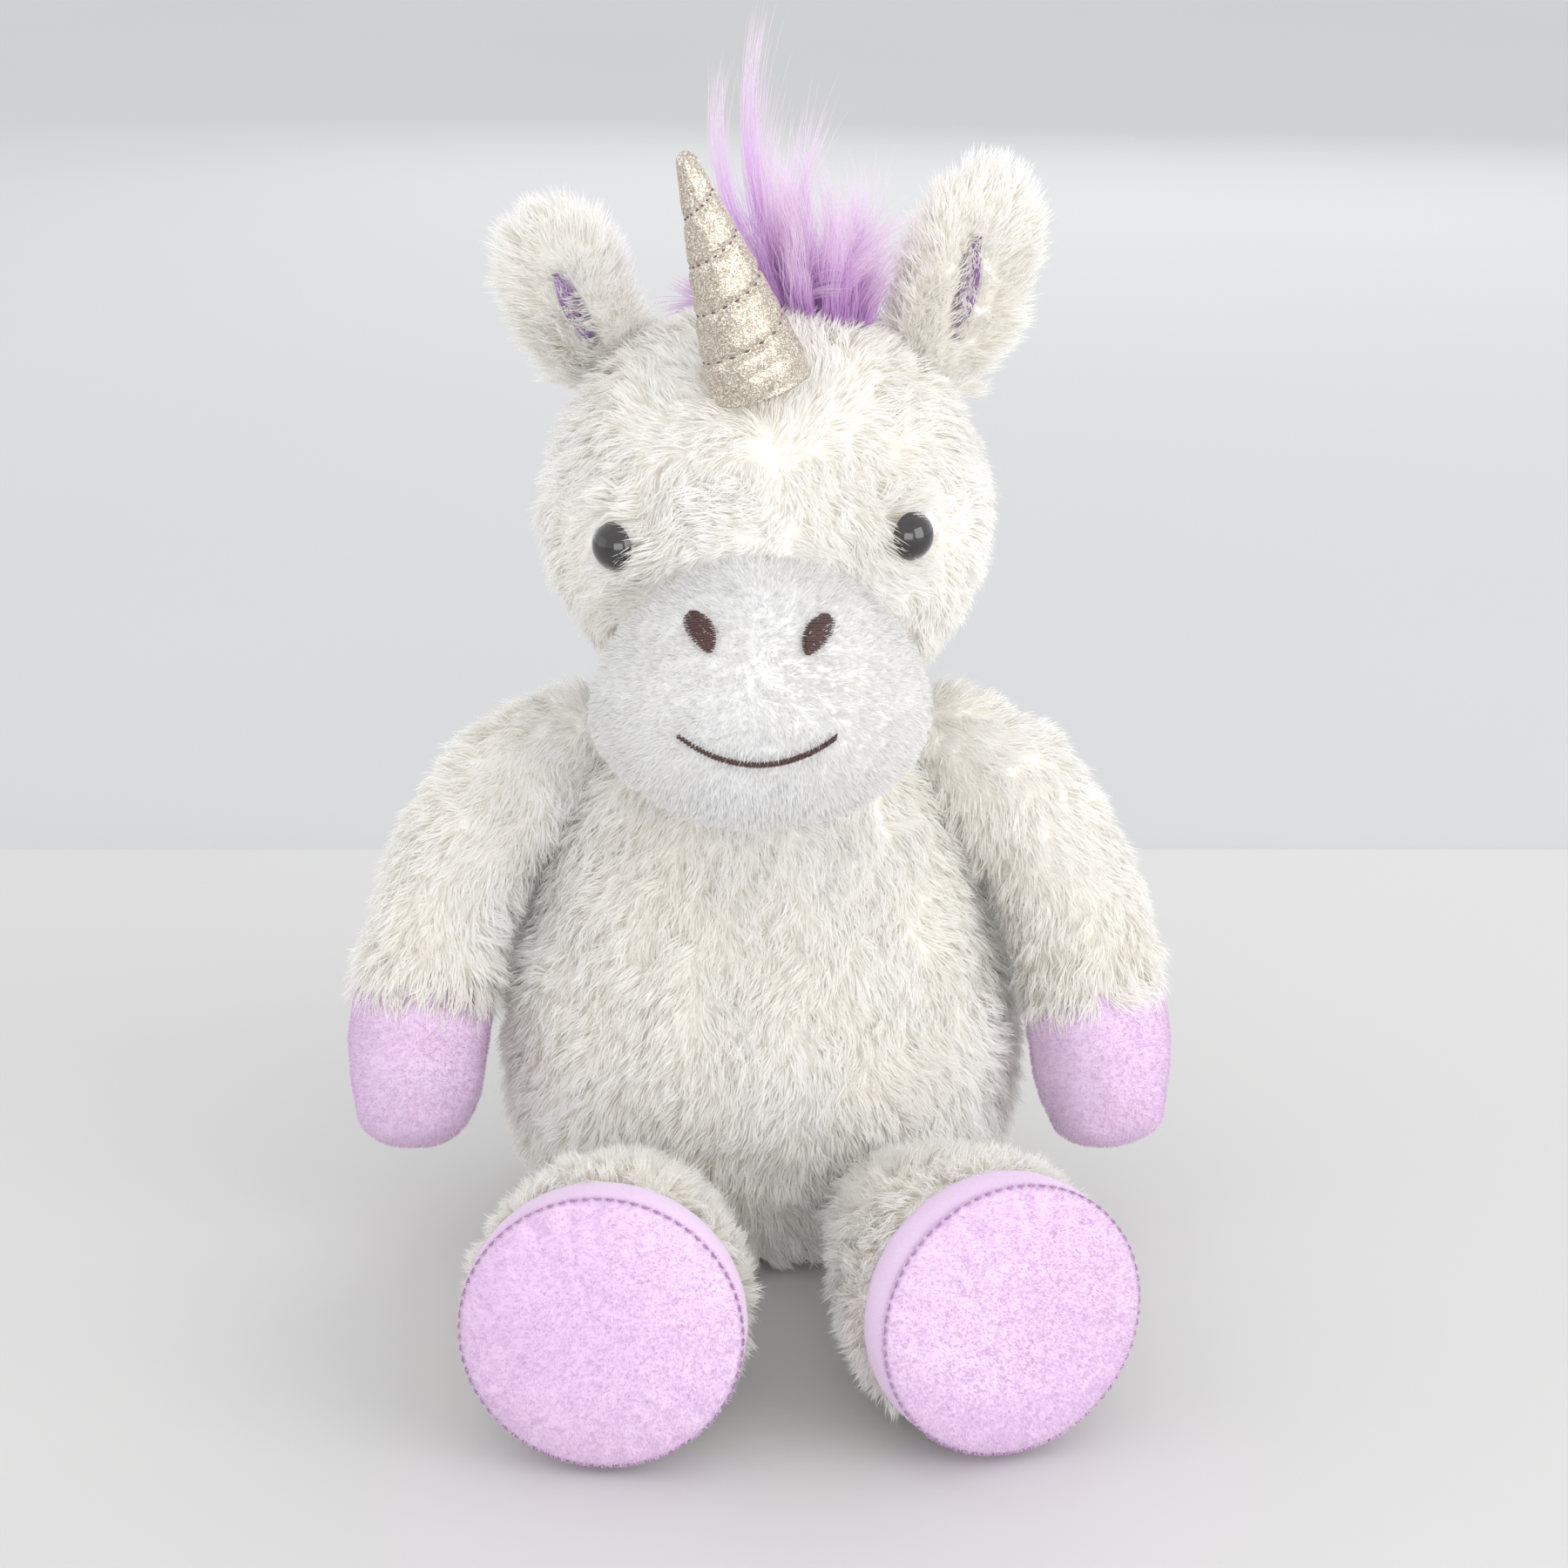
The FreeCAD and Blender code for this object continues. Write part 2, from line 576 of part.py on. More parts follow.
def all_pieces():
    """Every piece of the toy, by name."""
    pieces = torso_pieces()
    pieces.update(head_pieces())
    pieces.update(horn_pieces())
    pieces.update(ear_pieces("left", LEFT_EAR))
    pieces.update(ear_pieces("right", RIGHT_EAR))
    pieces.update(arm_pieces("left", 1.0))
    pieces.update(arm_pieces("right", -1.0))
    pieces.update(leg_pieces("left", LEFT_LEG))
    pieces.update(leg_pieces("right", RIGHT_LEG))
    pieces.update(tail_pieces())
    return pieces


def main():
    """Builds every piece and writes one file for each."""
    os.makedirs("parts", exist_ok=True)
    for name, shape in all_pieces().items():
        shape.exportStep("parts/" + name + ".step")


if __name__ == "__main__":
    main()
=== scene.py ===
"""Seated plush unicorn: sewn skins, pile, velour, horn, eyes, floor, light and camera.

+X is the unicorn's left, -Y its front and +Z up. Lengths are in millimetres and are turned
into metres when a mesh is made. A turn is an angle in radians, and a share runs from 0 to 1.
"""
import math

import bpy
import numpy as np
from mathutils import Matrix, Vector, kdtree, noise


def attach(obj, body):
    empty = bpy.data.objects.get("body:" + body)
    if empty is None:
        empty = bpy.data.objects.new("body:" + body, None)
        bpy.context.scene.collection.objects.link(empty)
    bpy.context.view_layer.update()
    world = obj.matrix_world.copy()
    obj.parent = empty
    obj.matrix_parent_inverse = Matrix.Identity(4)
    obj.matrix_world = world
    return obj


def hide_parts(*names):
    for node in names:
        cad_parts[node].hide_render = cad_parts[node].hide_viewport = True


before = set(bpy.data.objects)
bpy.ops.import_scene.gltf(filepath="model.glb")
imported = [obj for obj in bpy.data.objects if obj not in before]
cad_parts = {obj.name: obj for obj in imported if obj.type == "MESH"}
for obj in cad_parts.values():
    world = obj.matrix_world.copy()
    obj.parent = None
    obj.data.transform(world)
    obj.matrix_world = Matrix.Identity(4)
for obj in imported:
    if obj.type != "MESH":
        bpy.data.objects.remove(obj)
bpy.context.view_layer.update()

MM = 0.001
RANDOM = np.random.default_rng(7)
LEFT = Vector((1.0, 0.0, 0.0))
BACK = Vector((0.0, 1.0, 0.0))
UP = Vector((0.0, 0.0, 1.0))

# ---------------------------------------------------------------- driving dimensions
# Torso: height, half width, half depth and the shift of its middle along Y.
TORSO_RINGS = (
    (1.0, 48.0, 44.0, 2.0),
    (5.0, 60.0, 53.0, 2.0),
    (14.0, 68.0, 59.0, 2.0),
    (27.0, 72.5, 62.5, 1.5),
    (45.0, 74.0, 64.0, 0.5),
    (62.0, 73.0, 63.5, -0.5),
    (82.0, 69.5, 60.0, -1.0),
    (102.0, 63.5, 54.5, -1.5),
    (120.0, 57.0, 48.5, -2.0),
    (136.0, 50.0, 42.0, -3.0),
    (150.0, 35.0, 31.0, -4.0),
    (160.0, 22.0, 20.0, -4.0),
)
SEAT_HEIGHT = 12.0              # below this the pile is pressed flat
SEAT_LIFT = 0.4

NECK_MIDDLE = Vector((0.0, -4.0, 0.0))
NECK_RINGS = ((140.0, 35.5), (150.0, 35.5), (158.0, 33.0))     # height and radius

HEAD = Vector((2.0, -8.0, 204.0))
HEAD_RADII = (61.0, 57.0, 58.0)
MUZZLE = Vector((0.8, -66.0, 171.0))
MUZZLE_RADII = (45.5, 35.5, 35.5)
MUZZLE_TOP_NARROWING = 0.16
GUSSET_HALF_WIDTH = 22.0
FACE_Y = -20.0                  # the face lies in front of this

LEFT_EYE = Vector((39.5, 0.0, 208.5))
RIGHT_EYE = Vector((-37.0, 0.0, 205.5))
LEFT_NOSTRIL = Vector((14.2, 0.0, 191.5))
RIGHT_NOSTRIL = Vector((-13.2, 0.0, 192.0))
NOSTRIL_HALF_WIDTH = 3.2
NOSTRIL_HALF_HEIGHT = 4.3
NOSTRIL_LEAN = math.radians(28.0)
SMILE_HALF_WIDTH = 18.6
SMILE_LOW_Z = 162.6
SMILE_CURVE = 6.6 / 19.5 ** 2   # rise over the square of the way from the middle

HORN_BASE = Vector((-1.0, -42.0, 250.5))
HORN_TIP = Vector((-17.5, -50.0, 303.5))
HORN_BASE_RADIUS = 13.0
HORN_TIP_RADIUS = 2.6
HORN_WIND_START = 0.08          # where the wound thread starts, and its rise in one turn
HORN_WIND_RISE = 0.22
HORN_WIND_TURNS = 3.5

# Ears: root, tip, degrees of turn about its length, and the opening's place and slant.
LEFT_EAR = {
    "root": Vector((46.0, 4.0, 242.0)),
    "tip": Vector((62.5, 6.0, 292.0)),
    "turn": 25.0,
    "slit": (0.10, 0.55),
}
RIGHT_EAR = {
    "root": Vector((-42.0, 4.0, 242.5)),
    "tip": Vector((-55.5, -6.0, 283.0)),
    "turn": -30.0,
    "slit": (-0.20, 0.30),
}
EAR_HALF_WIDTH = 19.0
EAR_HALF_THICKNESS = 9.0
EAR_PROFILE = ((0.0, 0.86), (0.15, 0.95), (0.35, 1.0), (0.55, 1.0), (0.75, 0.90), (0.90, 0.62), (1.0, 0.16))
EAR_GROOVE_MIDDLE = 0.42        # along the ear; the next is a share of its half width
EAR_GROOVE_HALF = 0.16
EAR_GROOVE_DEPTH = 4.5
EAR_SATIN_HALF = 0.15

# Arms, as the left one, and the radius at shares of the length.
SHOULDER = Vector((51.0, -4.0, 136.0))
ARM_BEND = Vector((94.0, -12.0, 119.0))
ARM_END = Vector((95.0, -30.0, 31.0))
ARM_RADII = (
    (0.0, 20.5), (0.12, 21.5), (0.28, 22.0), (0.45, 21.5),
    (0.62, 21.5), (0.78, 21.0), (0.90, 19.8), (1.0, 16.0),
)
CUFF_SHARE = 0.74
HOOF_END_SHARE = 0.955

LEFT_LEG = {"hip": Vector((35.0, -46.0, 20.5)), "foot": Vector((62.5, -151.0, 36.8)), "facing": 23.0}
RIGHT_LEG = {"hip": Vector((-34.0, -46.0, 20.5)), "foot": Vector((-37.5, -158.0, 36.8)), "facing": -4.0}
LEG_RADII = (
    (0.0, 17.5), (0.16, 19.5), (0.34, 23.0), (0.52, 28.0),
    (0.70, 32.5), (0.84, 35.5), (0.93, 36.2), (1.0, 36.0),
)
LEG_STRAIGHT = 45.0
SOLE_TILT = 4.0
SOLE_RADIUS = 35.5
SOLE_BULGE = 8.0
SOLE_SEAM_INSET = 0.9
BAND_LENGTH = 11.0
FOOT_COUNT = 160                # points round a foot

TUFT_BASE = Vector((12.0, -6.0, 258.0))
# Wisps that stand above the tuft: three points of the line, fibres and spread at the tip.
WISPS = (
    ((6.0, -5.0, 258.0), (-15.0, -6.0, 288.0), (-8.5, -4.0, 325.0), 55, 1.8),
    ((9.0, -4.0, 258.0), (-8.0, -4.0, 296.0), (2.5, 2.0, 338.0), 70, 2.2),
    ((12.0, -2.0, 258.0), (8.0, 0.0, 285.0), (17.0, 4.0, 312.0), 60, 5.0),
    ((17.0, -3.0, 258.0), (30.0, -2.0, 274.0), (28.0, 2.0, 296.0), 60, 5.5),
    ((8.0, -4.0, 258.0), (-3.0, 2.0, 280.0), (4.0, 8.0, 318.0), 60, 5.0),
)
# Tail: a point of its middle line and the radius there.
TAIL_LINE = (
    (0, 69, 52, 4.0),
    (0, 75, 46, 9.0),
    (0, 82, 36, 12.5),
    (0, 90, 26, 14.0),
    (0, 100, 19, 14.5),
    (0, 110, 16, 12.0),
    (0, 118, 15, 6.0),
)

# Pile: how deep the skin lies under the CAD surface, and the strands on it.
PILE_DEPTH = 5.0
PILE_LENGTH = 7.5
PILE_DENSITY = 2.3              # strands on a square millimetre
PILE_WIDTH = 0.32
LOCK_SPACING = 3.8
FLOOR_CLEARANCE = 0.3
DOME_STEPS = 4                  # rings in the round end of a tube, plus one


# ---------------------------------------------------------------- meshes
def turns(count):
    """Even steps round a circle."""
    return [2.0 * math.pi * i / count for i in range(count)]


def linked(name, data):
    """A new object in the scene."""
    obj = bpy.data.objects.new(name, data)
    bpy.context.scene.collection.objects.link(obj)
    return obj


def mesh_object(name, points, faces):
    """A new object from points in millimetres."""
    mesh = bpy.data.meshes.new(name)
    mesh.from_pydata([tuple(Vector(p) * MM) for p in points], [], faces)
    mesh.update()
    return linked(name, mesh)


def smooth_shade(obj):
    """Smooth shading on every face."""
    obj.data.polygons.foreach_set("use_smooth", [True] * len(obj.data.polygons))
    obj.data.update()
    return obj


def ring_faces(rings, count):
    """Quads between rings of points, and one face at each end."""
    faces = []
    for r in range(rings - 1):
        for i in range(count):
            j = (i + 1) % count
            faces.append((r * count + i, r * count + j, (r + 1) * count + j, (r + 1) * count + i))
    faces.append(tuple(reversed(range(count))))
    faces.append(tuple(range((rings - 1) * count, rings * count)))
    return faces


def oval_point(centre, half_width, half_depth, turn):
    """A point on a level oval."""
    return centre + Vector((half_width * math.cos(turn), half_depth * math.sin(turn), 0.0))


def circle_point(centre, side, up, radius, turn):
    """A point on a circle that lies along two directions."""
    return centre + side * (radius * math.cos(turn)) + up * (radius * math.sin(turn))


def ellipsoid_points(centre, radii, rings=48, count=72):
    """Points of an ellipsoid, ring by ring from the bottom, and its faces."""
    points = []
    for r in range(1, rings):
        polar = math.pi * r / rings
        middle = centre - UP * (radii[2] * math.cos(polar))
        wide, deep = radii[0] * math.sin(polar), radii[1] * math.sin(polar)
        points += [oval_point(middle, wide, deep, turn) for turn in turns(count)]
    return points, ring_faces(rings - 1, count)


def spline_value(table, share, column=1):
    """A smooth value from a column of a table whose first column is the share."""
    xs = [row[0] for row in table]
    ys = [row[column] for row in table]
    k = max(0, min(len(xs) - 2, sum(1 for x in xs if x <= share) - 1))
    t = (share - xs[k]) / (xs[k + 1] - xs[k])
    before = ys[max(k - 1, 0)]
    after = ys[min(k + 2, len(ys) - 1)]
    a = 2.0 * ys[k]
    b = ys[k + 1] - before
    c = 2.0 * before - 5.0 * ys[k] + 4.0 * ys[k + 1] - after
    d = 3.0 * ys[k] - before - 3.0 * ys[k + 1] + after
    return 0.5 * (a + b * t + c * t * t + d * t ** 3)


def select(objects):
    """Selects objects and makes the first one active."""
    bpy.ops.object.select_all(action="DESELECT")
    for obj in objects:
        obj.select_set(True)
    bpy.context.view_layer.objects.active = objects[0]


def applied(obj, modifier):
    """The object with one of its modifiers applied."""
    select([obj])
    bpy.ops.object.modifier_apply(modifier=modifier.name)
    return obj


def with_modifier(obj, kind, **settings):
    """The object with a new modifier applied."""
    modifier = obj.modifiers.new(kind.lower(), kind)
    for key, value in settings.items():
        setattr(modifier, key, value)
    return applied(obj, modifier)


def remeshed(obj, voxel, smoothing):
    """One closed skin round everything in the object."""
    with_modifier(obj, "REMESH", mode="VOXEL", voxel_size=voxel * MM)
    with_modifier(obj, "SMOOTH", factor=0.5, iterations=smoothing)
    return smooth_shade(obj)


def coordinates(obj):
    """The vertices as an array in millimetres."""
    points = np.empty(len(obj.data.vertices) * 3)
    obj.data.vertices.foreach_get("co", points)
    return points.reshape(-1, 3) / MM


def set_coordinates(obj, points):
    """Moves the vertices to an array in millimetres."""
    obj.data.vertices.foreach_set("co", (points * MM).ravel())
    obj.data.update()


def vertex_normals(obj):
    """The vertex normals as an array."""
    normals = np.empty(len(obj.data.vertices) * 3)
    obj.data.vertex_normals.foreach_get("vector", normals)
    return normals.reshape(-1, 3)


def unit(vectors):
    """Rows scaled to length one."""
    return vectors / np.maximum(np.linalg.norm(vectors, axis=1), 1e-9)[:, None]


def swell(obj, amount, spacing, seed):
    """Small soft lumps of stuffing."""
    points = coordinates(obj)
    shift = np.array([noise.noise(Vector(p) / spacing + Vector((seed, 0, 0))) for p in points])
    set_coordinates(obj, points + vertex_normals(obj) * (shift * amount)[:, None])
    return obj


def puffed(obj, voxel, cap, pressure=4.0, frames=20):
    """Stuffs a closed skin by a short cloth simulation, then subdivides it once."""
    remeshed(obj, voxel, 4)
    before = coordinates(obj)
    cloth = obj.modifiers.new("cloth", "CLOTH")
    cloth.settings.use_pressure = True
    cloth.settings.uniform_pressure_force = pressure
    cloth.settings.effector_weights.gravity = 0.0
    cloth.point_cache.frame_end = frames
    for step in range(1, frames + 1):
        bpy.context.scene.frame_set(step)
    applied(obj, cloth)
    move = coordinates(obj) - before
    far = np.linalg.norm(move, axis=1)
    share = np.minimum(1.0, cap / np.maximum(far, 1e-6))
    set_coordinates(obj, before + move * share[:, None])
    bpy.context.scene.frame_set(1)
    with_modifier(obj, "SUBSURF", levels=1)
    return smooth_shade(obj)


def frame_along(along, reference):
    """Side and up vectors across a direction."""
    side = along.cross(reference).normalized()
    return side, side.cross(along).normalized()


def dome(station, height):
    """Stations from the top of a round end to its rim. height is in radii, below 0 for a start."""
    centre, along, radius = station
    angles = [0.5 * math.pi * k / DOME_STEPS for k in range(1, DOME_STEPS)]
    return [(centre + along * (height * radius * math.cos(a)), along, radius * math.sin(a)) for a in angles]


def swept(name, stations, reference, count=48, end_dome=0.75):
    """A closed tube with round ends. A station is (centre, direction, radius)."""
    rows = dome(stations[0], -1.0) + list(stations) + dome(stations[-1], end_dome)[::-1]
    points = []
    for centre, along, radius in rows:
        side, up = frame_along(along, reference)
        points += [circle_point(centre, side, up, radius, turn) for turn in turns(count)]
    return smooth_shade(mesh_object(name, points, ring_faces(len(rows), count)))


def thread_rings(line, radius, sides):
    """Rings of points round a line, thinner at its two ends."""
    rings = []
    for k, point in enumerate(line):
        along = (line[min(k + 1, len(line) - 1)] - line[max(k - 1, 0)]).normalized()
        reference = Vector((0.31, 0.17, 0.94)) if abs(along.z) < 0.9 else LEFT
        side, up = frame_along(along, reference)
        thin = radius * (0.45 if k in (0, len(line) - 1) else 1.0)
        rings += [circle_point(point, side, up, thin, turn) for turn in turns(sides)]
    return rings


def threads(name, lines, radius, sides=6):
    """One object of many short threads, each along a line of points."""
    points, faces = [], []
    for line in lines:
        start = len(points)
        points += thread_rings(line, radius, sides)
        faces += [tuple(start + i for i in face) for face in ring_faces(len(line), sides)]
    return smooth_shade(mesh_object(name, points, faces))


# ---------------------------------------------------------------- pile
def ribbons(name, paths, sides, widths, tone):
    """A mesh of tapering ribbons. paths is (strands, points, 3), with a width for all but the tips."""
    strands, steps, _ = paths.shape
    half = sides[:, None] * widths[None, :, None] / 2.0
    pairs = np.stack([paths[:, :-1] - half, paths[:, :-1] + half], 2).reshape(strands, -1, 3)
    points = np.concatenate([pairs, paths[:, -1:]], 1)
    points[:, :, 2] = np.maximum(points[:, :, 2], FLOOR_CLEARANCE)
    per = points.shape[1]
    quads = [[2 * k, 2 * k + 1, 2 * k + 3, 2 * k + 2] for k in range(steps - 2)]
    pattern = np.array(sum(quads, []) + [per - 3, per - 2, per - 1])
    loops = (np.arange(strands)[:, None] * per + pattern).ravel()
    sizes = np.array([4] * len(quads) + [3])
    first = np.concatenate([[0], np.cumsum(sizes)[:-1]])
    starts = (np.arange(strands)[:, None] * len(pattern) + first).ravel()
    mesh = bpy.data.meshes.new(name)
    mesh.vertices.add(strands * per)
    mesh.vertices.foreach_set("co", (points * MM).astype(np.float32).ravel())
    mesh.loops.add(len(loops))
    mesh.loops.foreach_set("vertex_index", loops.astype(np.int32))
    mesh.polygons.add(strands * len(sizes))
    mesh.polygons.foreach_set("loop_start", starts.astype(np.int32))
    mesh.polygons.foreach_set("loop_total", np.tile(sizes, strands).astype(np.int32))
    mesh.update()
    mesh.validate()
    mesh.polygons.foreach_set("use_smooth", [True] * len(mesh.polygons))
    along = np.concatenate([np.repeat(np.linspace(0.0, 1.0, steps)[:-1], 2), [1.0]])
    for key, values in (("along", np.tile(along, strands)), ("tone", np.repeat(tone, per))):
        attribute = mesh.attributes.new(key, "FLOAT", "POINT")
        attribute.data.foreach_set("value", values.astype(np.float32))
    return linked(name, mesh)


def surface_samples(obj, density=PILE_DENSITY):
    """Random places on an object's faces, with the normals there."""
    mesh = obj.data
    mesh.calc_loop_triangles()
    corners = np.empty(len(mesh.loop_triangles) * 3, dtype=np.int32)
    mesh.loop_triangles.foreach_get("vertices", corners)
    corners = corners.reshape(-1, 3)
    points = coordinates(obj)
    normals = vertex_normals(obj)
    a, b, c = (points[corners[:, k]] for k in range(3))
    area = 0.5 * np.linalg.norm(np.cross(b - a, c - a), axis=1)
    count = int(area.sum() * density)
    chosen = RANDOM.choice(len(corners), count, p=area / area.sum())
    u = RANDOM.random((count, 2))
    over = u.sum(axis=1) > 1.0
    u[over] = 1.0 - u[over]
    weights = np.stack([1.0 - u.sum(axis=1), u[:, 0], u[:, 1]], 1)
    place = sum(points[corners[chosen, k]] * weights[:, k:k + 1] for k in range(3))
    normal = unit(sum(normals[corners[chosen, k]] * weights[:, k:k + 1] for k in range(3)))
    return place, normal


def nearest_lead(place, leads):
    """For each place, which of the leading strands is nearest."""
    tree = kdtree.KDTree(len(leads))
    for i, lead in enumerate(leads):
        tree.insert(place[lead], i)
    tree.balance()
    return leads[np.array([tree.find(p)[1] for p in place])]


def pile_paths(place, normal, flow, length, lift, spacing, pull, swirl):
    """Root, middle and tip of every strand, gathered into small locks."""
    count = len(place)
    leads = RANDOM.choice(count, max(4, int(count / (PILE_DENSITY * spacing * spacing))), replace=False)
    lead = nearest_lead(place, leads)
    turn = np.zeros(count)
    drift = [swirl * 2.2 * noise.noise(Vector(place[i]) / 17.0) for i in leads]
    turn[leads] = drift + RANDOM.normal(0.0, swirl * 0.45, len(leads))
    turn = turn[lead] + RANDOM.normal(0.0, 0.36, count)
    tangent = unit(flow - normal * np.sum(flow * normal, axis=1)[:, None])
    across = np.cross(normal, tangent)
    tangent = tangent * np.cos(turn)[:, None] + across * np.sin(turn)[:, None]
    rise = lift + RANDOM.normal(0.0, 0.2, count)
    rise += RANDOM.normal(0.0, 0.16, count)[lead]
    size = length * (0.72 + 0.5 * RANDOM.random(count))
    tip = place + (normal * np.sin(rise)[:, None] + tangent * np.cos(rise)[:, None]) * size[:, None]
    tip = tip + (tip[lead] - tip) * (pull * (0.5 + 0.5 * RANDOM.random(count)))[:, None]
    middle = place + (tip - place) * 0.5 + normal * (size * 0.13)[:, None]
    return np.stack([place, middle, tip], 1), lead


def pile(name, place, normal, flow, length=PILE_LENGTH, lift=0.55, width=PILE_WIDTH,
         spacing=LOCK_SPACING, pull=0.45, swirl=0.55):
    """A piece of short pile on sampled places, combed along flow and lifted by an angle."""
    paths, lead = pile_paths(place, normal, flow, length, lift, spacing, pull, swirl)
    run = unit(paths[:, 2] - paths[:, 0])
    side = unit(np.cross(run, normal))
    spin = RANDOM.normal(0.0, 0.55, len(place))
    side = side * np.cos(spin)[:, None] + np.cross(run, side) * np.sin(spin)[:, None]
    tone = 0.5 * RANDOM.random(len(place)) + 0.5 * RANDOM.random(len(place))[lead]
    return ribbons(name, paths, side, np.array([0.8, 1.0]) * width, tone)


# ---------------------------------------------------------------- materials
PURE_WHITE = (1.0, 1.0, 1.0)


def new_material(name):
    """An empty node material."""
    material = bpy.data.materials.new(name)
    material.use_nodes = True
    return material


def connect(material, target, inputs):
    """Links or sets each input of a node."""
    for key, value in inputs.items():
        if isinstance(value, bpy.types.NodeSocket):
            material.node_tree.links.new(value, target.inputs[key])
        else:
            target.inputs[key].default_value = value
    return target


def principled(material, inputs):
    """The material's own shader, with its inputs linked or set."""
    return connect(material, material.node_tree.nodes["Principled BSDF"], inputs)


def node(material, kind, inputs, **settings):
    """A new node with its settings, and its inputs linked or set."""
    new = material.node_tree.nodes.new("ShaderNode" + kind)
    for key, value in settings.items():
        setattr(new, key, value)
    return connect(material, new, inputs)


def object_space(material):
    """The place in the object's own space."""
    return node(material, "TexCoord", {}).outputs["Object"]


def object_noise(material, scale, detail):
    """Noise laid out in the object's own space."""
    inputs = {"Vector": object_space(material), "Scale": scale, "Detail": detail}
    return node(material, "TexNoise", inputs).outputs["Fac"]


def colour_ramp(material, factor, *stops):
    """Colours along a factor. A stop is (position, colour)."""
    ramp = node(material, "ValToRGB", {"Fac": factor})
    elements = ramp.color_ramp.elements
    while len(elements) < len(stops):
        elements.new(0.5)
    for element, (position, colour) in zip(elements, stops):
        element.position = position
        element.color = (*colour, 1.0)
    return ramp.outputs["Color"]


def multiplied(material, first, second):
    """Two colours multiplied."""
    mix = node(material, "Mix", {0: 1.0}, data_type="RGBA", blend_type="MULTIPLY")
    return connect(material, mix, {6: first, 7: second}).outputs[2]


def stretched(material, value, low, high):
    """A value between 0 and 1 mapped between two others."""
    return node(material, "MapRange", {"Value": value, "To Min": low, "To Max": high}).outputs["Result"]


def bumped(material, height, strength):
    """A normal from a height, for grain under half a millimetre high."""
    inputs = {"Strength": strength, "Distance": 0.0004, "Height": height}
    return node(material, "Bump", inputs).outputs["Normal"]


def pile_material(name, root, middle, tip, sheen, see_through):
    """Fibres that change from root to tip, vary from lock to lock and let some light through. For the cream
    pile and the naps, the darker root is painted shade deep in the pile.
    """
    material = new_material(name)
    along = node(material, "Attribute", {}, attribute_name="along").outputs["Fac"]
    tone = node(material, "Attribute", {}, attribute_name="tone").outputs["Fac"]
    # Root-to-tip ramp: for the cream pile and the naps, the darker, warmer root is painted shade deep in the
    # pile.
    fibre_tint_and_root_shade = colour_ramp(material, along, (0.0, root), (0.45, middle), (1.0, tip))
    lock = colour_ramp(material, tone, (0.0, (0.965, 0.96, 0.945)), (1.0, PURE_WHITE))
    patches = object_noise(material, 28.0, 3.0)
    patch = colour_ramp(material, patches, (0.35, (0.985, 0.978, 0.955)), (0.65, PURE_WHITE))
    colour = multiplied(material, multiplied(material, fibre_tint_and_root_shade, lock), patch)
    surface = principled(material, {
        "Base Color": colour,
        "Roughness": 0.75,
        "Specular IOR Level": 0.25,
        "Sheen Weight": sheen,
    })
    through = node(material, "BsdfTranslucent", {"Color": colour})
    shaders = {0: see_through, 1: surface.outputs["BSDF"], 2: through.outputs["BSDF"]}
    blend = node(material, "MixShader", shaders)
    connect(material, material.node_tree.nodes["Material Output"], {"Surface": blend.outputs["Shader"]})
    return material


def cloth_material(name, dark, light, grain, bump, sheen, roughness=0.85, patch_scale=45.0):
    """Knitted or velour cloth: soft patches, a fine grain and sheen."""
    material = new_material(name)
    patches = object_noise(material, patch_scale, 4.0)
    fine = object_noise(material, grain, 2.0)
    patch = colour_ramp(material, patches, (0.32, dark), (0.68, light))
    fleck = colour_ramp(material, fine, (0.3, (0.93, 0.93, 0.93)), (0.7, PURE_WHITE))
    principled(material, {
        "Base Color": multiplied(material, patch, fleck),
        "Normal": bumped(material, fine, bump),
        "Roughness": roughness,
        "Specular IOR Level": 0.2,
        "Sheen Weight": sheen,
        "Sheen Roughness": 0.5,
    })
    return material


def glitter_material():
    """Fabric covered in gold flakes, each tilted and toned by itself."""
    material = new_material("gold_glitter")
    flakes = node(material, "TexVoronoi", {"Vector": object_space(material), "Scale": 3600.0})
    split = node(material, "SeparateColor", {"Color": flakes.outputs["Color"]}).outputs
    gold = colour_ramp(
        material, split["Red"],
        (0.0, (0.30, 0.25, 0.19)), (0.35, (0.52, 0.45, 0.36)),
        (0.75, (0.68, 0.61, 0.52)), (0.93, (1.0, 0.97, 0.90)),
    )
    principled(material, {
        "Base Color": gold,
        "Normal": bumped(material, split["Green"], 0.9),
        "Roughness": stretched(material, split["Blue"], 0.22, 0.6),
        "Metallic": 0.6,
    })
    return material


def thread_material(name, dark, light):
    """Satin thread with a fine twist."""
    material = new_material(name)
    twist = object_noise(material, 1800.0, 2.0)
    colour = colour_ramp(material, twist, (0.3, dark), (0.7, light))
    principled(material, {"Base Color": colour, "Roughness": 0.45, "Sheen Weight": 0.2})
    return material


def eye_material():
    """Black glossy plastic with a faint brown depth and fine scuffs."""
    material = new_material("black_eye")
    depth = object_noise(material, 120.0, 2.0)
    scuffs = object_noise(material, 900.0, 4.0)
    black = colour_ramp(material, depth, (0.3, (0.004, 0.004, 0.005)), (0.7, (0.014, 0.010, 0.009)))
    principled(material, {
        "Base Color": black,
        "Roughness": stretched(material, scuffs, 0.03, 0.12),
        "Coat Weight": 1.0,
        "Coat Roughness": 0.03,
    })
    return material


def plain_material(name, colour, roughness):
    """Pale matt surface with a very faint mottling."""
    material = new_material(name)
    mottle = object_noise(material, 2.0, 3.0)
    dim = tuple(c * 0.985 for c in colour)
    shade = colour_ramp(material, mottle, (0.3, dim), (0.7, colour))
    principled(material, {"Base Color": shade, "Roughness": roughness, "Specular IOR Level": 0.15})
    return material
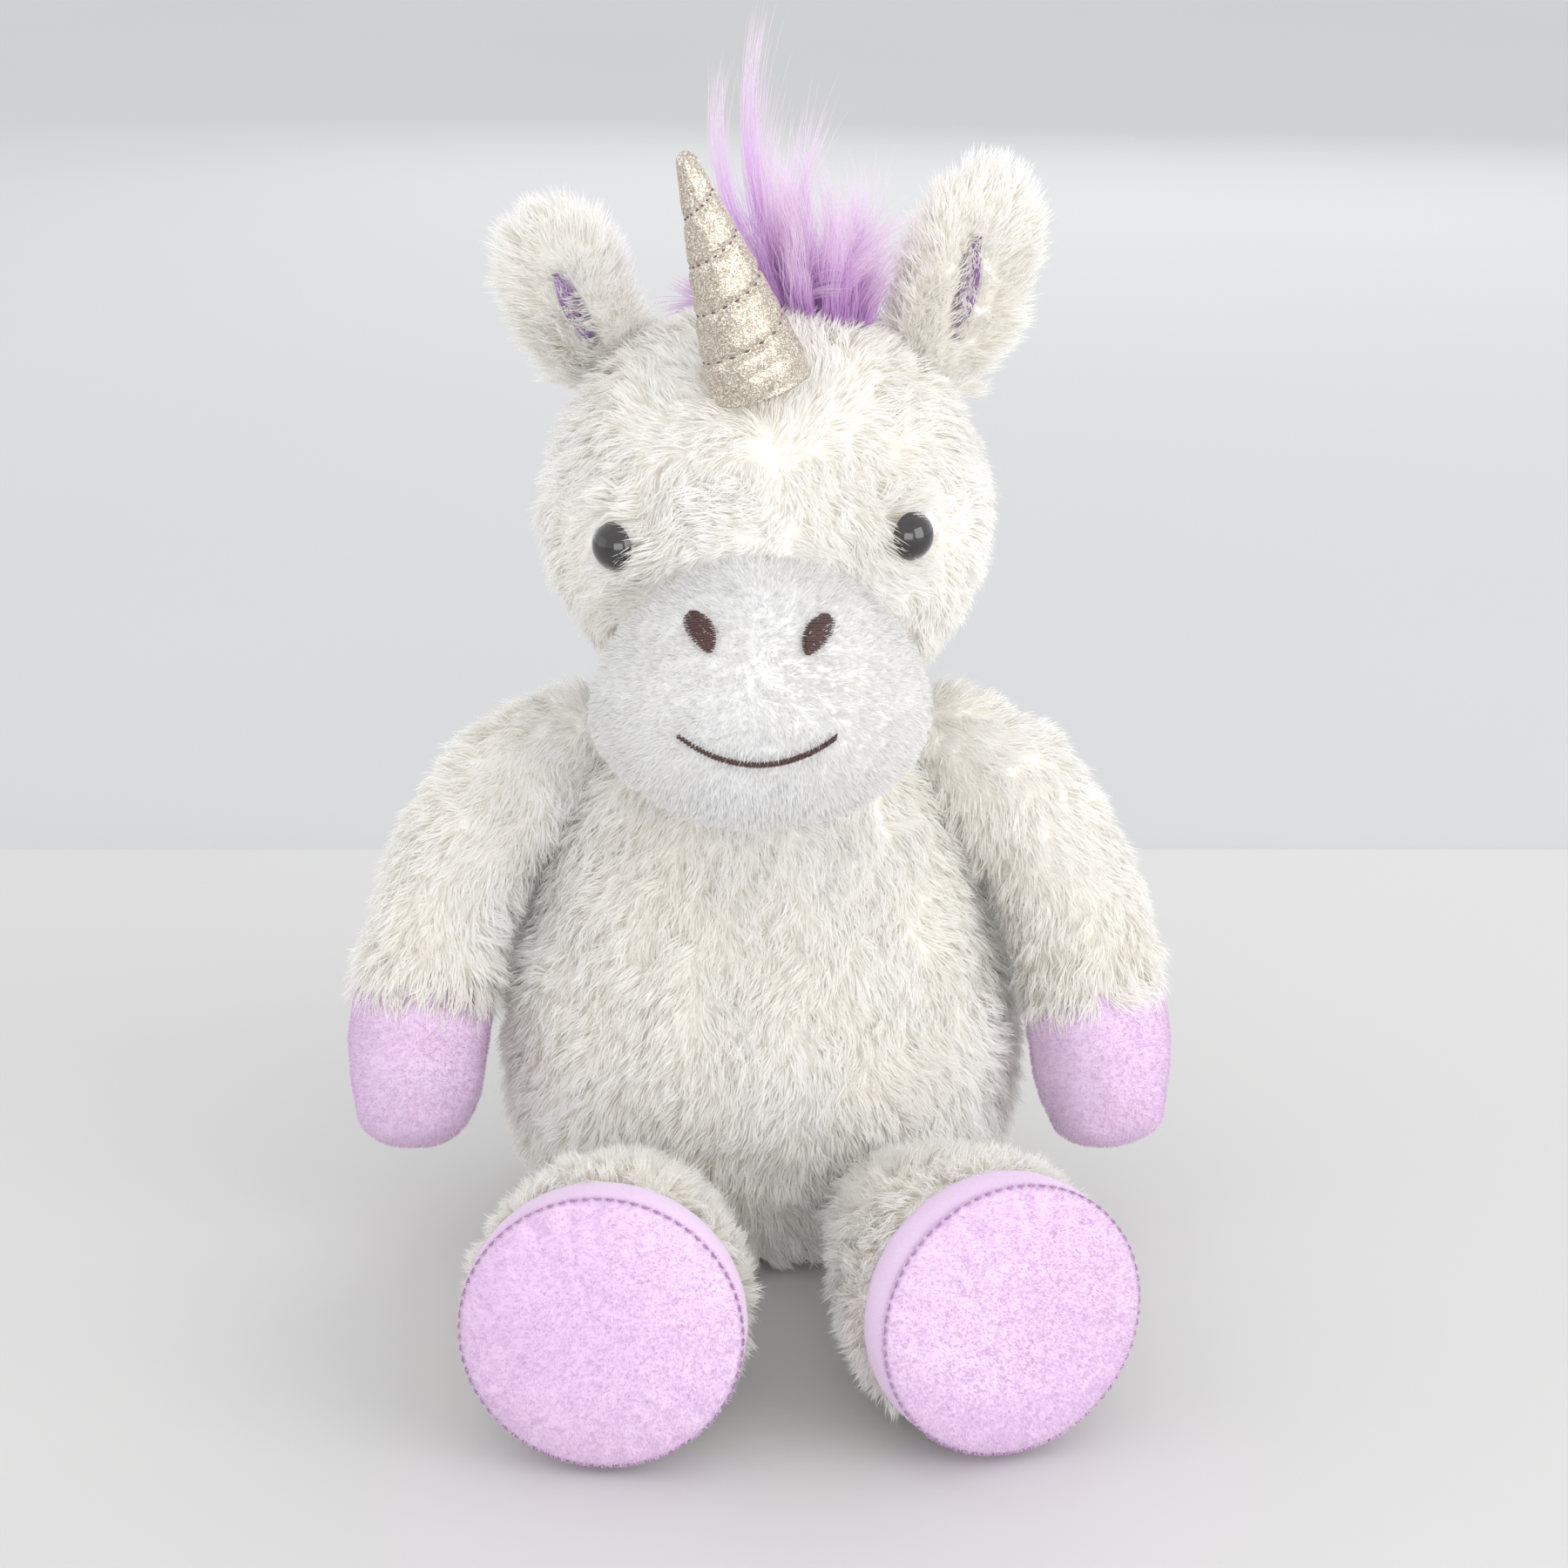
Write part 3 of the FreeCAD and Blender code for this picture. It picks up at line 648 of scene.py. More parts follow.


# The cream pile and the two naps are darker and warmer at the root than at the tip: painted shade deep in the
# pile.
CREAM_PILE = pile_material("cream_pile", (0.985, 0.97, 0.93), (0.99, 0.987, 0.975), PURE_WHITE, 0.2, 0.45)
WHITE_NAP = pile_material(
    "white_nap", (0.83, 0.83, 0.835), (0.86, 0.86, 0.865), (0.89, 0.89, 0.895), 0.15, 0.35)
LAVENDER_NAP = pile_material(
    "lavender_nap", (0.75, 0.58, 0.775), (0.78, 0.62, 0.81), (0.81, 0.66, 0.85), 0.3, 0.35)
MANE_PILE = pile_material(
    "mane_pile", (0.64, 0.36, 0.77), (0.80, 0.57, 0.88), (0.93, 0.83, 0.94), 0.3, 0.5)
CREAM_CLOTH = cloth_material("cream_cloth", (0.98, 0.965, 0.925), (0.99, 0.98, 0.955), 1500.0, 0.3, 0.2)
WHITE_CLOTH = cloth_material("white_cloth", (0.86, 0.86, 0.865), (0.89, 0.89, 0.895), 1700.0, 0.3, 0.2)
LAVENDER_CLOTH = cloth_material(
    "lavender_cloth", (0.75, 0.56, 0.77), (0.79, 0.62, 0.815), 1700.0, 0.2, 0.3, patch_scale=22.0)
LAVENDER_SATIN = cloth_material(
    "lavender_satin", (0.34, 0.17, 0.44), (0.52, 0.33, 0.64), 2500.0, 0.3, 0.2, 0.35, 160.0)
GOLD_GLITTER = glitter_material()
PLUM_THREAD = thread_material("plum_thread", (0.10, 0.035, 0.05), (0.20, 0.08, 0.10))
LAVENDER_THREAD = thread_material("lavender_thread", (0.30, 0.13, 0.32), (0.45, 0.24, 0.46))
BROWN_THREAD = thread_material("brown_thread", (0.030, 0.010, 0.008), (0.085, 0.030, 0.024))
BLACK_EYE = eye_material()


def finished(obj, body, material, replaced=()):
    """The piece with its material, the body it rides on and the nodes it stands for."""
    obj.data.materials.clear()
    obj.data.materials.append(material)
    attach(obj, body)
    if replaced:
        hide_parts(*replaced)
    return obj


def nap_on(skin, name, body, along):
    """Short velour nap over a skin, brushed one way."""
    place, normal = surface_samples(skin, 4.0)
    flow = np.tile(np.array(along), (len(place), 1))
    nap = pile(
        name, place, normal, flow, length=0.9, lift=1.25, width=0.16, spacing=2.6, pull=0.05, swirl=0.3)
    return finished(nap, body, LAVENDER_NAP)


# ---------------------------------------------------------------- torso and neck
def torso_skin():
    """The pear-shaped skin of the torso, its neck end closed inside the head."""
    rings, count = 41, 96
    low, high = TORSO_RINGS[0][0], TORSO_RINGS[-1][0]
    points = []
    for k in range(rings):
        z = low + (high - low) * (k / (rings - 1.0)) ** 1.15
        half_width, half_depth, shift = (spline_value(TORSO_RINGS, z, column) for column in (1, 2, 3))
        inset = PILE_DEPTH * min(1.0, z / SEAT_HEIGHT)
        centre = Vector((0.0, shift, z + SEAT_LIFT * (1.0 - z / high)))
        points += [oval_point(centre, half_width - inset, half_depth - inset, turn) for turn in turns(count)]
    skin = mesh_object("torso_skin", points, ring_faces(rings, count))
    remeshed(skin, 3.0, 8)
    return swell(skin, 1.6, 26.0, 3.0)


def torso():
    """Torso skin and the pile of its two panels."""
    skin = torso_skin()
    place, normal = surface_samples(skin)
    shown = (place[:, 2] < 150.0) & (normal[:, 2] > -0.75)
    place, normal = place[shown], normal[shown]
    flow = np.zeros_like(place)
    flow[:, 2] = -1.0
    flow[:, :2] = 0.35 * place[:, :2] / 60.0
    lift = 0.55 - 0.3 * (place[:, 2] < 9.0)
    for name, chosen in (("torso_front_pile", place[:, 1] < 0.0), ("torso_back_pile", place[:, 1] >= 0.0)):
        fur = pile(name, place[chosen], normal[chosen], flow[chosen], lift=lift[chosen])
        finished(fur, "torso", CREAM_PILE, [name.replace("pile", "panel")])
    finished(skin, "torso", CREAM_CLOTH, ["torso_stuffing"])


def neck():
    """The sewn neck between torso and head, mostly hidden in the head's pile."""
    stations = [(NECK_MIDDLE + UP * z, UP, radius) for z, radius in NECK_RINGS]
    skin = swept("neck_skin", stations, BACK)
    place, normal = surface_samples(skin)
    normal = unit((place - np.array(NECK_MIDDLE)) * np.array((1.0, 1.0, 0.0)))
    shown = (place[:, 2] > 134.0) & (place[:, 2] < 162.0)
    flow = np.tile(np.array([0.0, 0.0, -1.0]), (len(place), 1))
    fur = pile("neck_pile", place[shown], normal[shown], flow[shown], length=8.5, lift=0.8)
    finished(skin, "neck", CREAM_CLOTH, ["neck_stuffing"])
    finished(fur, "neck", CREAM_PILE)


# ---------------------------------------------------------------- head
def muzzle_shape(grow):
    """The muzzle, a little narrower above, as points and faces."""
    radii = [r + grow for r in MUZZLE_RADII]
    points, faces = ellipsoid_points(MUZZLE, radii, 60, 90)
    for p in points:
        rise = (p.z - MUZZLE.z) / radii[2]
        p.x = MUZZLE.x + (p.x - MUZZLE.x) * (1.0 - MUZZLE_TOP_NARROWING * max(0.0, rise + 0.25))
    return points, faces


def in_muzzle(points):
    """How far inside the muzzle's outline points lie: below 1 is inside."""
    radii = np.array(MUZZLE_RADII) + 0.5
    local = points - np.array(MUZZLE)
    rise = local[:, 2] / radii[2]
    local[:, 0] /= 1.0 - MUZZLE_TOP_NARROWING * np.maximum(0.0, rise + 0.25)
    return np.linalg.norm(local / radii, axis=1)


def head_skin():
    """The skin under the head's pile: the skull joined with a core of the muzzle."""
    skull = mesh_object("head_skin", *ellipsoid_points(HEAD, [r - PILE_DEPTH for r in HEAD_RADII]))
    select([skull, mesh_object("muzzle_core", *muzzle_shape(-6.0))])
    bpy.ops.object.join()
    remeshed(skull, 3.0, 10)
    return swell(skull, 1.4, 24.0, 11.0)


def muzzle_skin():
    """The white muzzle, stuffed full."""
    skin = mesh_object("muzzle_skin", *muzzle_shape(-2.2))
    remeshed(skin, 2.5, 4)
    return swell(skin, 1.1, 17.0, 5.0)


def head_flow(place):
    """Pile runs back over the crown, outwards on the cheeks and down below."""
    local = (place - np.array(HEAD)) / HEAD_RADII[1]
    flow = np.zeros_like(place)
    flow[:, 0] = 0.9 * local[:, 0]
    flow[:, 1] = np.where(local[:, 2] > 0.45, 0.6, 0.15)
    flow[:, 2] = -0.55 - 0.3 * np.abs(local[:, 0])
    front = (local[:, 1] < -0.3) & (local[:, 2] > 0.1)
    flow[front, 2] = -0.35
    return flow


def seat_on(x, z, skin):
    """The front point of a skin at an x and z, and its normal there."""
    _, where, normal, _ = skin.ray_cast(Vector((x, -200.0, z)) * MM, BACK)
    return where / MM, normal


def head_has_pile(place):
    """Which places are clear of the muzzle, neck, eyes and horn."""
    shown = (in_muzzle(place) > 1.0) & (place[:, 2] > 150.0)
    shown &= ~((place[:, 2] < 162.0) & (np.hypot(place[:, 0], place[:, 1] - NECK_MIDDLE.y) < 26.0))
    for eye in (LEFT_EYE, RIGHT_EYE):
        inward = (place[:, 0] - eye.x) * np.sign(eye.x) < 0.0
        away = np.hypot(place[:, 0] - eye.x, place[:, 2] - eye.z)
        shown &= ~((away < np.where(inward, 4.6, 6.2)) & (place[:, 1] < FACE_Y))
    horn_way = np.linalg.norm(place - np.array(HORN_BASE), axis=1)
    return shown & (horn_way > HORN_BASE_RADIUS - 1.5)


def head_pile(skin):
    """The pile of the three panels, short by the muzzle and combed over the inside of each eye."""
    place, normal = surface_samples(skin)
    shown = head_has_pile(place)
    place, normal = place[shown], normal[shown]
    flow = head_flow(place)
    length = np.where(in_muzzle(place) < 1.22, 5.5, PILE_LENGTH)
    lift = np.full(len(place), 0.58)
    for eye in (LEFT_EYE, RIGHT_EYE):
        side = np.sign(eye.x)
        away = np.hypot(place[:, 0] - eye.x, place[:, 2] - eye.z)
        close = (away < 14.0) & (place[:, 1] < FACE_Y)
        inner = (place[close, 0] - eye.x) * side < 0.0
        length[close] = np.where(inner, 10.0, 5.0)
        lift[close] = np.where(inner, 0.95, 0.5)
        flow[close] += np.array((1.1 * side, 0.0, 0.1))
    panels = (
        ("head_gusset_pile", np.abs(place[:, 0] - HEAD.x) <= GUSSET_HALF_WIDTH, "head_gusset"),
        ("head_left_pile", place[:, 0] > HEAD.x + GUSSET_HALF_WIDTH, "head_left_panel"),
        ("head_right_pile", place[:, 0] < HEAD.x - GUSSET_HALF_WIDTH, "head_right_panel"),
    )
    for name, at, panel in panels:
        fur = pile(name, place[at], normal[at], flow[at], length=length[at], lift=lift[at], swirl=0.8)
        finished(fur, "head", CREAM_PILE, [panel])


def muzzle_nap(muzzle):
    """Short white nap where the muzzle stands out of the head."""
    place, normal = surface_samples(muzzle, 2.8)
    local = (place - np.array(HEAD)) / np.array(HEAD_RADII)
    shown = np.linalg.norm(local, axis=1) > 0.93
    place, normal = place[shown], normal[shown]
    flow = (place - np.array(MUZZLE)) * np.array((0.8, 0.0, 0.3)) + np.array((0.0, 4.0, -18.0))
    nap = pile(
        "muzzle_nap", place, normal, flow,
        length=2.8, lift=0.95, width=0.26, spacing=3.0, pull=0.15, swirl=0.4)
    finished(nap, "head", WHITE_NAP)


def head():
    """Head skin, muzzle, pile, embroidery and eyes."""
    skin = head_skin()
    muzzle = muzzle_skin()
    head_pile(skin)
    inside = ["head_stuffing", "left_eye_washer", "right_eye_washer", "mane_backing"]
    finished(skin, "head", CREAM_CLOTH, inside)
    muzzle_nap(muzzle)
    finished(muzzle, "head", WHITE_CLOTH, ["muzzle_panel"])
    nostril("left_nostril", LEFT_NOSTRIL, 1.0, muzzle)
    nostril("right_nostril", RIGHT_NOSTRIL, -1.0, muzzle)
    smile(muzzle)
    for eye in ("left_eye", "right_eye"):
        for slot in bpy.data.objects[eye].material_slots:
            slot.material = BLACK_EYE


def nostril(name, centre, side, muzzle):
    """A teardrop filled with slanted threads. side is 1 on the unicorn's left."""
    rows = 18
    lean = -side * NOSTRIL_LEAN
    lines = []
    for k in range(rows):
        t = -1.0 + 2.0 * (k + 0.5) / rows
        half = NOSTRIL_HALF_WIDTH * math.sqrt(1.0 - t * t) * (1.0 + 0.35 * t)
        line = []
        for s in (-1.0, -0.5, 0.0, 0.5, 1.0):
            x = half * s
            z = NOSTRIL_HALF_HEIGHT * t + 0.35 * x * side
            turned_x = x * math.cos(lean) - z * math.sin(lean)
            turned_z = x * math.sin(lean) + z * math.cos(lean)
            seat, normal = seat_on(centre.x + turned_x, centre.z + turned_z, muzzle)
            line.append(seat + normal * (2.0 - 0.5 * s * s))
        lines.append(line)
    finished(threads(name + "_threads", lines, 0.40), "head", BROWN_THREAD, [name])


def smile(muzzle):
    """The smile, in short upright satin stitches."""
    stitches = 46
    lines = []
    for k in range(stitches):
        middle = SMILE_HALF_WIDTH * (2.0 * k / (stitches - 1) - 1.0)
        line = []
        for s in (-1.0, 0.0, 1.0):
            x = middle + 0.45 * s
            seat, normal = seat_on(x, SMILE_LOW_Z + SMILE_CURVE * x ** 2 + 0.75 * s, muzzle)
            line.append(seat + normal * (1.9 - 0.25 * abs(s)))
        lines.append(line)
    finished(threads("smile_threads", lines, 0.58), "head", BROWN_THREAD, ["smile_stitch"])


# ---------------------------------------------------------------- horn
def horn_point(share, turn):
    """A point on the horn's cover, drawn in along the wound thread. Turn 90 degrees is its front."""
    along = (HORN_TIP - HORN_BASE).normalized()
    side = along.cross(BACK).normalized()
    front = -side.cross(along)
    radius = HORN_BASE_RADIUS + (HORN_TIP_RADIUS - HORN_BASE_RADIUS) * max(0.0, share) ** 1.08
    phase = (share - HORN_WIND_START) / HORN_WIND_RISE - turn / (2.0 * math.pi)
    gap = abs(phase - round(phase))
    radius += 0.3 * math.sin(math.pi * min(1.0, 2.0 * gap)) * (1.0 - share)
    if 0.02 < share < 0.93:
        radius -= 0.6 * math.exp(-(gap / 0.08) ** 2)
    radius += 0.35 * noise.noise(Vector((3.0 * math.cos(turn), 3.0 * math.sin(turn), share * 9.0)))
    return circle_point(HORN_BASE.lerp(HORN_TIP, share), side, front, radius, turn)


def horn():
    """The glitter cone with its blunt tip, and the thread wound round it."""
    rings, count = 110, 96
    points = []
    for r in range(rings):
        share = -0.10 + 1.10 * r / (rings - 1)
        points += [horn_point(share, turn) for turn in turns(count)]
    for share, shrink in ((1.022, 0.75), (1.036, 0.35)):
        centre = HORN_BASE.lerp(HORN_TIP, share)
        points += [centre + (horn_point(1.0, turn) - HORN_TIP) * shrink for turn in turns(count)]
    cover = smooth_shade(mesh_object("horn_skin", points, ring_faces(rings + 2, count)))
    finished(cover, "horn", GOLD_GLITTER, ["horn_cover", "horn_stuffing"])
    stitches = 58
    lines = []
    for k in range(stitches):
        line = []
        for s, proud in ((0.0, -0.1), (0.22, 0.2), (0.44, -0.1)):
            wound = HORN_WIND_TURNS * (k + s) / stitches
            share = HORN_WIND_START + HORN_WIND_RISE * wound
            point = horn_point(share, 2.0 * math.pi * wound)
            outward = (point - HORN_BASE.lerp(HORN_TIP, share)).normalized()
            line.append(point + outward * proud)
        lines.append(line)
    finished(threads("horn_stitches", lines, 0.3), "horn", PLUM_THREAD, ["horn_thread"])


# ---------------------------------------------------------------- ears
def ear_frame(ear):
    """Directions along an ear, across it and out of its front."""
    along = (ear["tip"] - ear["root"]).normalized()
    across = along.cross(BACK).normalized()
    front = across.cross(along).normalized()
    if front.y > 0.0:
        front.negate()
    turn = Matrix.Rotation(math.radians(ear["turn"]), 3, along)
    return along, turn @ across, turn @ front


def groove_line(ear, share):
    """Where the ear's folded opening runs, as a share of the half width."""
    place, slant = ear["slit"]
    return place + slant * (share - 0.45)


def ear_point(ear, share, turn, inset):
    """A point on an ear's folded shape."""
    along, across, front = ear_frame(ear)
    profile = spline_value(EAR_PROFILE, max(0.0, min(1.0, share)))
    half_width = EAR_HALF_WIDTH * profile - inset
    half_thickness = EAR_HALF_THICKNESS * (0.35 + 0.65 * profile) - inset
    u = math.cos(turn)
    w = math.sin(turn)
    depth = half_thickness * w
    if w > 0.0:
        gap = (u - groove_line(ear, share)) / EAR_GROOVE_HALF
        open_here = max(0.0, 1.0 - ((share - EAR_GROOVE_MIDDLE) / 0.34) ** 2)
        depth -= EAR_GROOVE_DEPTH * open_here * math.exp(-gap * gap)
    centre = ear["root"].lerp(ear["tip"], share) + front * (2.5 * math.sin(math.pi * share))
    return centre + across * (half_width * u) + front * depth


def ear_skin(name, shape):
    """The folded skin under an ear's pile."""
    rings, count = 40, 72
    points = []
    for r in range(rings):
        share = -0.18 + 1.17 * r / (rings - 1)
        points += [ear_point(shape, share, turn, 3.5) for turn in turns(count)]
    return remeshed(mesh_object(name + "_skin", points, ring_faces(rings, count)), 1.6, 3)


def ear_pile(name, shape, skin):
    """Pile all over an ear but in its opening."""
    along, across, front = (np.array(v) for v in ear_frame(shape))
    place, normal = surface_samples(skin, PILE_DENSITY * 1.15)
    local = place - np.array(shape["root"])
    share = local @ along / (shape["tip"] - shape["root"]).length
    sideways = local @ across / EAR_HALF_WIDTH
    off_line = sideways - np.array([groove_line(shape, s) for s in share])
    facing = normal @ front > 0.0
    in_slit = (np.abs(off_line) < 0.075) & (local @ front > -1.0) & (np.abs(share - EAR_GROOVE_MIDDLE) < 0.20)
    shown = ~(in_slit & facing) & (share > -0.12)
    place, normal, share, sideways = place[shown], normal[shown], share[shown], sideways[shown]
    off_line, facing = off_line[shown], facing[shown]
    flow = along * 0.9 + across * (0.9 * sideways)[:, None]
    near_slit = (np.abs(off_line) < 0.30) & facing
    flow[near_slit] += across * (0.15 * np.sign(off_line[near_slit]))[:, None]
    size = np.where(near_slit, 6.0, 9.0) + 1.0 * (share > 0.75)
    return pile(name + "_pile", place, normal, flow, length=size, lift=0.75, swirl=0.45)


def ear_satin(name, shape):
    """The narrow curved strip of lining in an ear's opening."""
    rows, columns = 26, 9
    front = ear_frame(shape)[2]
    points, faces = [], []
    for r in range(rows):
        share = 0.16 + 0.54 * r / (rows - 1)
        narrow = math.sin(math.pi * (0.08 + 0.84 * r / (rows - 1)))
        for c in range(columns):
            v = -1.0 + 2.0 * c / (columns - 1)
            turn = math.acos(groove_line(shape, share) + EAR_SATIN_HALF * v * narrow)
            points.append(ear_point(shape, share, turn, 2.6) + front * (0.5 + 1.4 * v * v))
    for a in range((rows - 1) * columns):
        if a % columns < columns - 1:
            faces.append((a, a + 1, a + columns + 1, a + columns))
    return smooth_shade(mesh_object(name + "_satin", points, faces))


def ear(name, shape):
    """One ear: folded skin, pile and the satin lining in its opening."""
    skin = ear_skin(name, shape)
    finished(ear_pile(name, shape, skin), name, CREAM_PILE)
    finished(skin, name, CREAM_CLOTH, [name + "_outer"])
    lining = ear_satin(name, shape)
    finished(lining, name, LAVENDER_SATIN, [name + "_lining"])


# ---------------------------------------------------------------- arms
def bezier(start, bend, end, share):
    """A point and direction on a quadratic curve."""
    rest = 1.0 - share
    point = start * (rest * rest) + bend * (2.0 * rest * share) + end * (share * share)
    along = ((bend - start) * rest + (end - bend) * share).normalized()
    return point, along


def sleeve_rows(line):
    """Stations of an arm's sleeve, from the shoulder to just past the cuff."""
    rows = []
    for k in range(25):
        share = k / 24.0
        if share <= CUFF_SHARE + 0.02:
            rows.append((*bezier(*line, share), spline_value(ARM_RADII, share) - PILE_DEPTH))
    return rows


def hoof_rows(line):
    """Stations of a hoof, drawn in where it tucks into the sleeve."""
    rows = []
    first = CUFF_SHARE - 0.04
    for k in range(9):
        share = first + (HOOF_END_SHARE - first) * k / 8.0
        radius = spline_value(ARM_RADII, share) - 1.8 - 5.0 * max(0.0, 1.0 - k / 2.0)
        rows.append((*bezier(*line, share), radius))
    return rows


def arm_pile(name, side, line, sleeve):
    """Pile on an arm's sleeve, left out inside the body and past the cuff."""
    place, normal = surface_samples(sleeve)
    cuff_point, cuff_along = bezier(*line, CUFF_SHARE)
    cuff_way = (place - np.array(cuff_point)) @ np.array(cuff_along)
    in_body = (np.linalg.norm(place - np.array(line[0]), axis=1) < 12.0) | (np.abs(place[:, 0]) < 40.0)
    shown = ~((cuff_way > 0.5) | in_body)
    place, normal, cuff_way = place[shown], normal[shown], cuff_way[shown]
    upper = np.clip((place[:, 2] - 95.0) / 35.0, 0.0, 1.0)
    flow = np.zeros_like(place)
    flow[:, 0] = side * 0.8 * upper + 0.1 * np.sign(place[:, 0] - side * 60.0)
    flow[:, 1] = -0.15
    flow[:, 2] = -1.0
    return pile(name + "_sleeve_pile", place, normal, flow, length=PILE_LENGTH + 2.0 * (cuff_way > -14.0))


def arm(name, side):
    """One arm: furry sleeve and velour hoof. side is 1 on the unicorn's left."""
    line = [Vector((side * p.x, p.y, p.z)) for p in (SHOULDER, ARM_BEND, ARM_END)]
    sleeve = swept(name + "_sleeve_skin", sleeve_rows(line), BACK, end_dome=0.2)
    remeshed(sleeve, 2.5, 4)
    swell(sleeve, 1.2, 16.0, 20.0 + side)
    hoof = swept(name + "_hoof_skin", hoof_rows(line), BACK, end_dome=0.55)
    puffed(hoof, 2.8, 1.6)
    swell(hoof, 0.8, 11.0, 30.0 + side)
    finished(arm_pile(name, side, line, sleeve), name, CREAM_PILE)
    finished(sleeve, name, CREAM_CLOTH, [name + "_sleeve", name + "_stuffing"])
    nap_on(hoof, name + "_hoof_nap", name, bezier(*line, CUFF_SHARE)[1])
    finished(hoof, name, LAVENDER_CLOTH, [name.replace("arm", "hoof")])


# ---------------------------------------------------------------- legs
def sole_normal(leg):
    """The way a sole faces."""
    facing = math.radians(leg["facing"])
    tilt = math.radians(SOLE_TILT)
    return Vector((math.sin(facing) * math.cos(tilt), -math.cos(facing) * math.cos(tilt), math.sin(tilt)))


def leg_rows(leg):
    """Stations of a leg's sleeve, kept off the floor."""
    steps = 24
    normal = sole_normal(leg)
    rim = leg["foot"] - normal * BAND_LENGTH
    rows = []
    for k in range(steps):
        share = 0.97 * k / (steps - 1)
        point, along = bezier(leg["hip"], rim - normal * LEG_STRAIGHT, rim, share)
        radius = spline_value(LEG_RADII, share) - PILE_DEPTH
        point.z = max(point.z, radius + 0.6)
        rows.append((point, along, radius))
    return rows


def sole_rim(leg, turn, radius, out):
    """A point near a sole's rim, in the sole's own plane."""
    normal = sole_normal(leg)
    side, up = frame_along(normal, UP)
    return circle_point(leg["foot"] + normal * out, side, up, radius, turn)


def off_floor(points, height):
    """Points raised to at least a height."""
    return [Vector((p.x, p.y, max(p.z, height))) for p in points]


def pucker(turn, seed):
    """Small gathers round a rim, strongest at the top."""
    top = 0.35 + 0.65 * max(0.0, math.sin(turn)) ** 1.5
    ripple = noise.noise(Vector((9.0 * math.cos(turn), 9.0 * math.sin(turn), seed)))
    return top * (ripple + 0.35 * math.sin(23.0 * turn + seed))


def leg_pile(name, shape, sleeve):
    """Pile on a leg's sleeve, pressed flat on the floor."""
    normal_out = np.array(sole_normal(shape))
    place, normal = surface_samples(sleeve)
    rim_way = (place - np.array(shape["foot"])) @ normal_out + BAND_LENGTH
    hip_way = np.linalg.norm(place - np.array(shape["hip"]), axis=1)
    shown = (rim_way < -0.5) & (hip_way > 14.0) & (normal[:, 2] > -0.9)
    place, normal = place[shown], normal[shown]
    flow = np.tile(normal_out * 0.7 + np.array((0.0, 0.0, -0.15)), (len(place), 1))
    lift = 0.65 - 0.35 * (place[:, 2] < 8.0)
    return pile(name + "_sleeve_pile", place, normal, flow, length=8.0, lift=lift, swirl=0.8)


def foot_band(shape, seed):
    """Points of the velour band behind a sole, from its sleeve end to its rim."""
    points = []
    for k in range(9):
        t = k / 8.0
        out = -BAND_LENGTH - 3.0 + (BAND_LENGTH + 2.2) * t
        radius = SOLE_RADIUS - 1.6 + math.sin(math.pi * min(1.0, t * 1.1))
        radius -= 1.6 * max(0.0, t - 0.85) / 0.15 + 3.0 * max(0.0, 0.12 - t) / 0.12
        for turn in turns(FOOT_COUNT):
            points.append(sole_rim(shape, turn, radius + 0.35 * t * pucker(turn, seed), out))
    return off_floor(points, 0.7)


def sole(shape, seed):
    """Points of a padded sole, from its middle to its rim, with a lip turned in behind it."""
    rings = 34
    points = []
    for r in range(rings):
        share = (r + 0.6) / (rings - 0.4)
        rise = SOLE_BULGE * (1.0 - share ** 2.6) ** 0.62 - 0.6
        for turn in turns(FOOT_COUNT):
            gather = pucker(turn, seed) * (1.5 * share ** 6 + 0.35 * share ** 2)
            spot = Vector((2.0 * share * math.cos(turn), 2.0 * share * math.sin(turn), seed - 7.0))
            out = rise + (gather + 0.9 * noise.noise(spot) * share) * (1.0 - share ** 24)
            points.append(sole_rim(shape, turn, (SOLE_RADIUS - SOLE_SEAM_INSET) * share, out))
    points += [sole_rim(shape, turn, SOLE_RADIUS - 3.0, -2.5) for turn in turns(FOOT_COUNT)]
    return off_floor(points, 0.6)


def sole_seam(shape):
    """Short stitches round a sole's rim."""
    stitches = 74
    lines = []
    for k in range(stitches):
        line = []
        for s, proud in ((0.0, 0.1), (0.33, 0.4), (0.66, 0.1)):
            turn = 2.0 * math.pi * (k + s) / stitches
            line.append(sole_rim(shape, turn, SOLE_RADIUS - SOLE_SEAM_INSET, proud))
        lines.append(off_floor(line, 0.5))
    return lines


def leg(side, shape, seed):
    """One leg: furry sleeve, foot band, padded sole and its sewn rim."""
    name = side + "_leg"
    sleeve = swept(name + "_sleeve_skin", leg_rows(shape), UP, end_dome=0.1)
    remeshed(sleeve, 3.0, 5)
    swell(sleeve, 1.4, 19.0, seed)
    finished(leg_pile(name, shape, sleeve), name, CREAM_PILE)
    finished(sleeve, name, CREAM_CLOTH, [name + "_sleeve", name + "_stuffing"])
    pieces = (
        (side + "_foot_band", foot_band(shape, seed), sole_normal(shape), 0.7),
        (side + "_sole", sole(shape, seed + 7.0), Vector((0.3, 0.0, -1.0)), 0.8),
    )
    for piece, points, brushed, fill in pieces:
        faces = ring_faces(len(points) // FOOT_COUNT, FOOT_COUNT)
        skin = smooth_shade(mesh_object(piece + "_skin", points, faces))
        finished(skin, name, LAVENDER_CLOTH, [piece])
        nap_on(skin, piece + "_nap", name, brushed)
    seam = threads(side + "_sole_stitches", sole_seam(shape), 0.32)
    finished(seam, name, LAVENDER_THREAD, [side + "_sole_thread"])


# ---------------------------------------------------------------- mane and tail
def facing_side(paths, scatter):
    """The way each strand is broad, roughly square to the view from the front."""
    run = unit(paths[:, -1] - paths[:, 0])
    return unit(np.cross(run, np.array((0.0, -1.0, 0.0)) + RANDOM.normal(0.0, scatter, (len(paths), 3))))


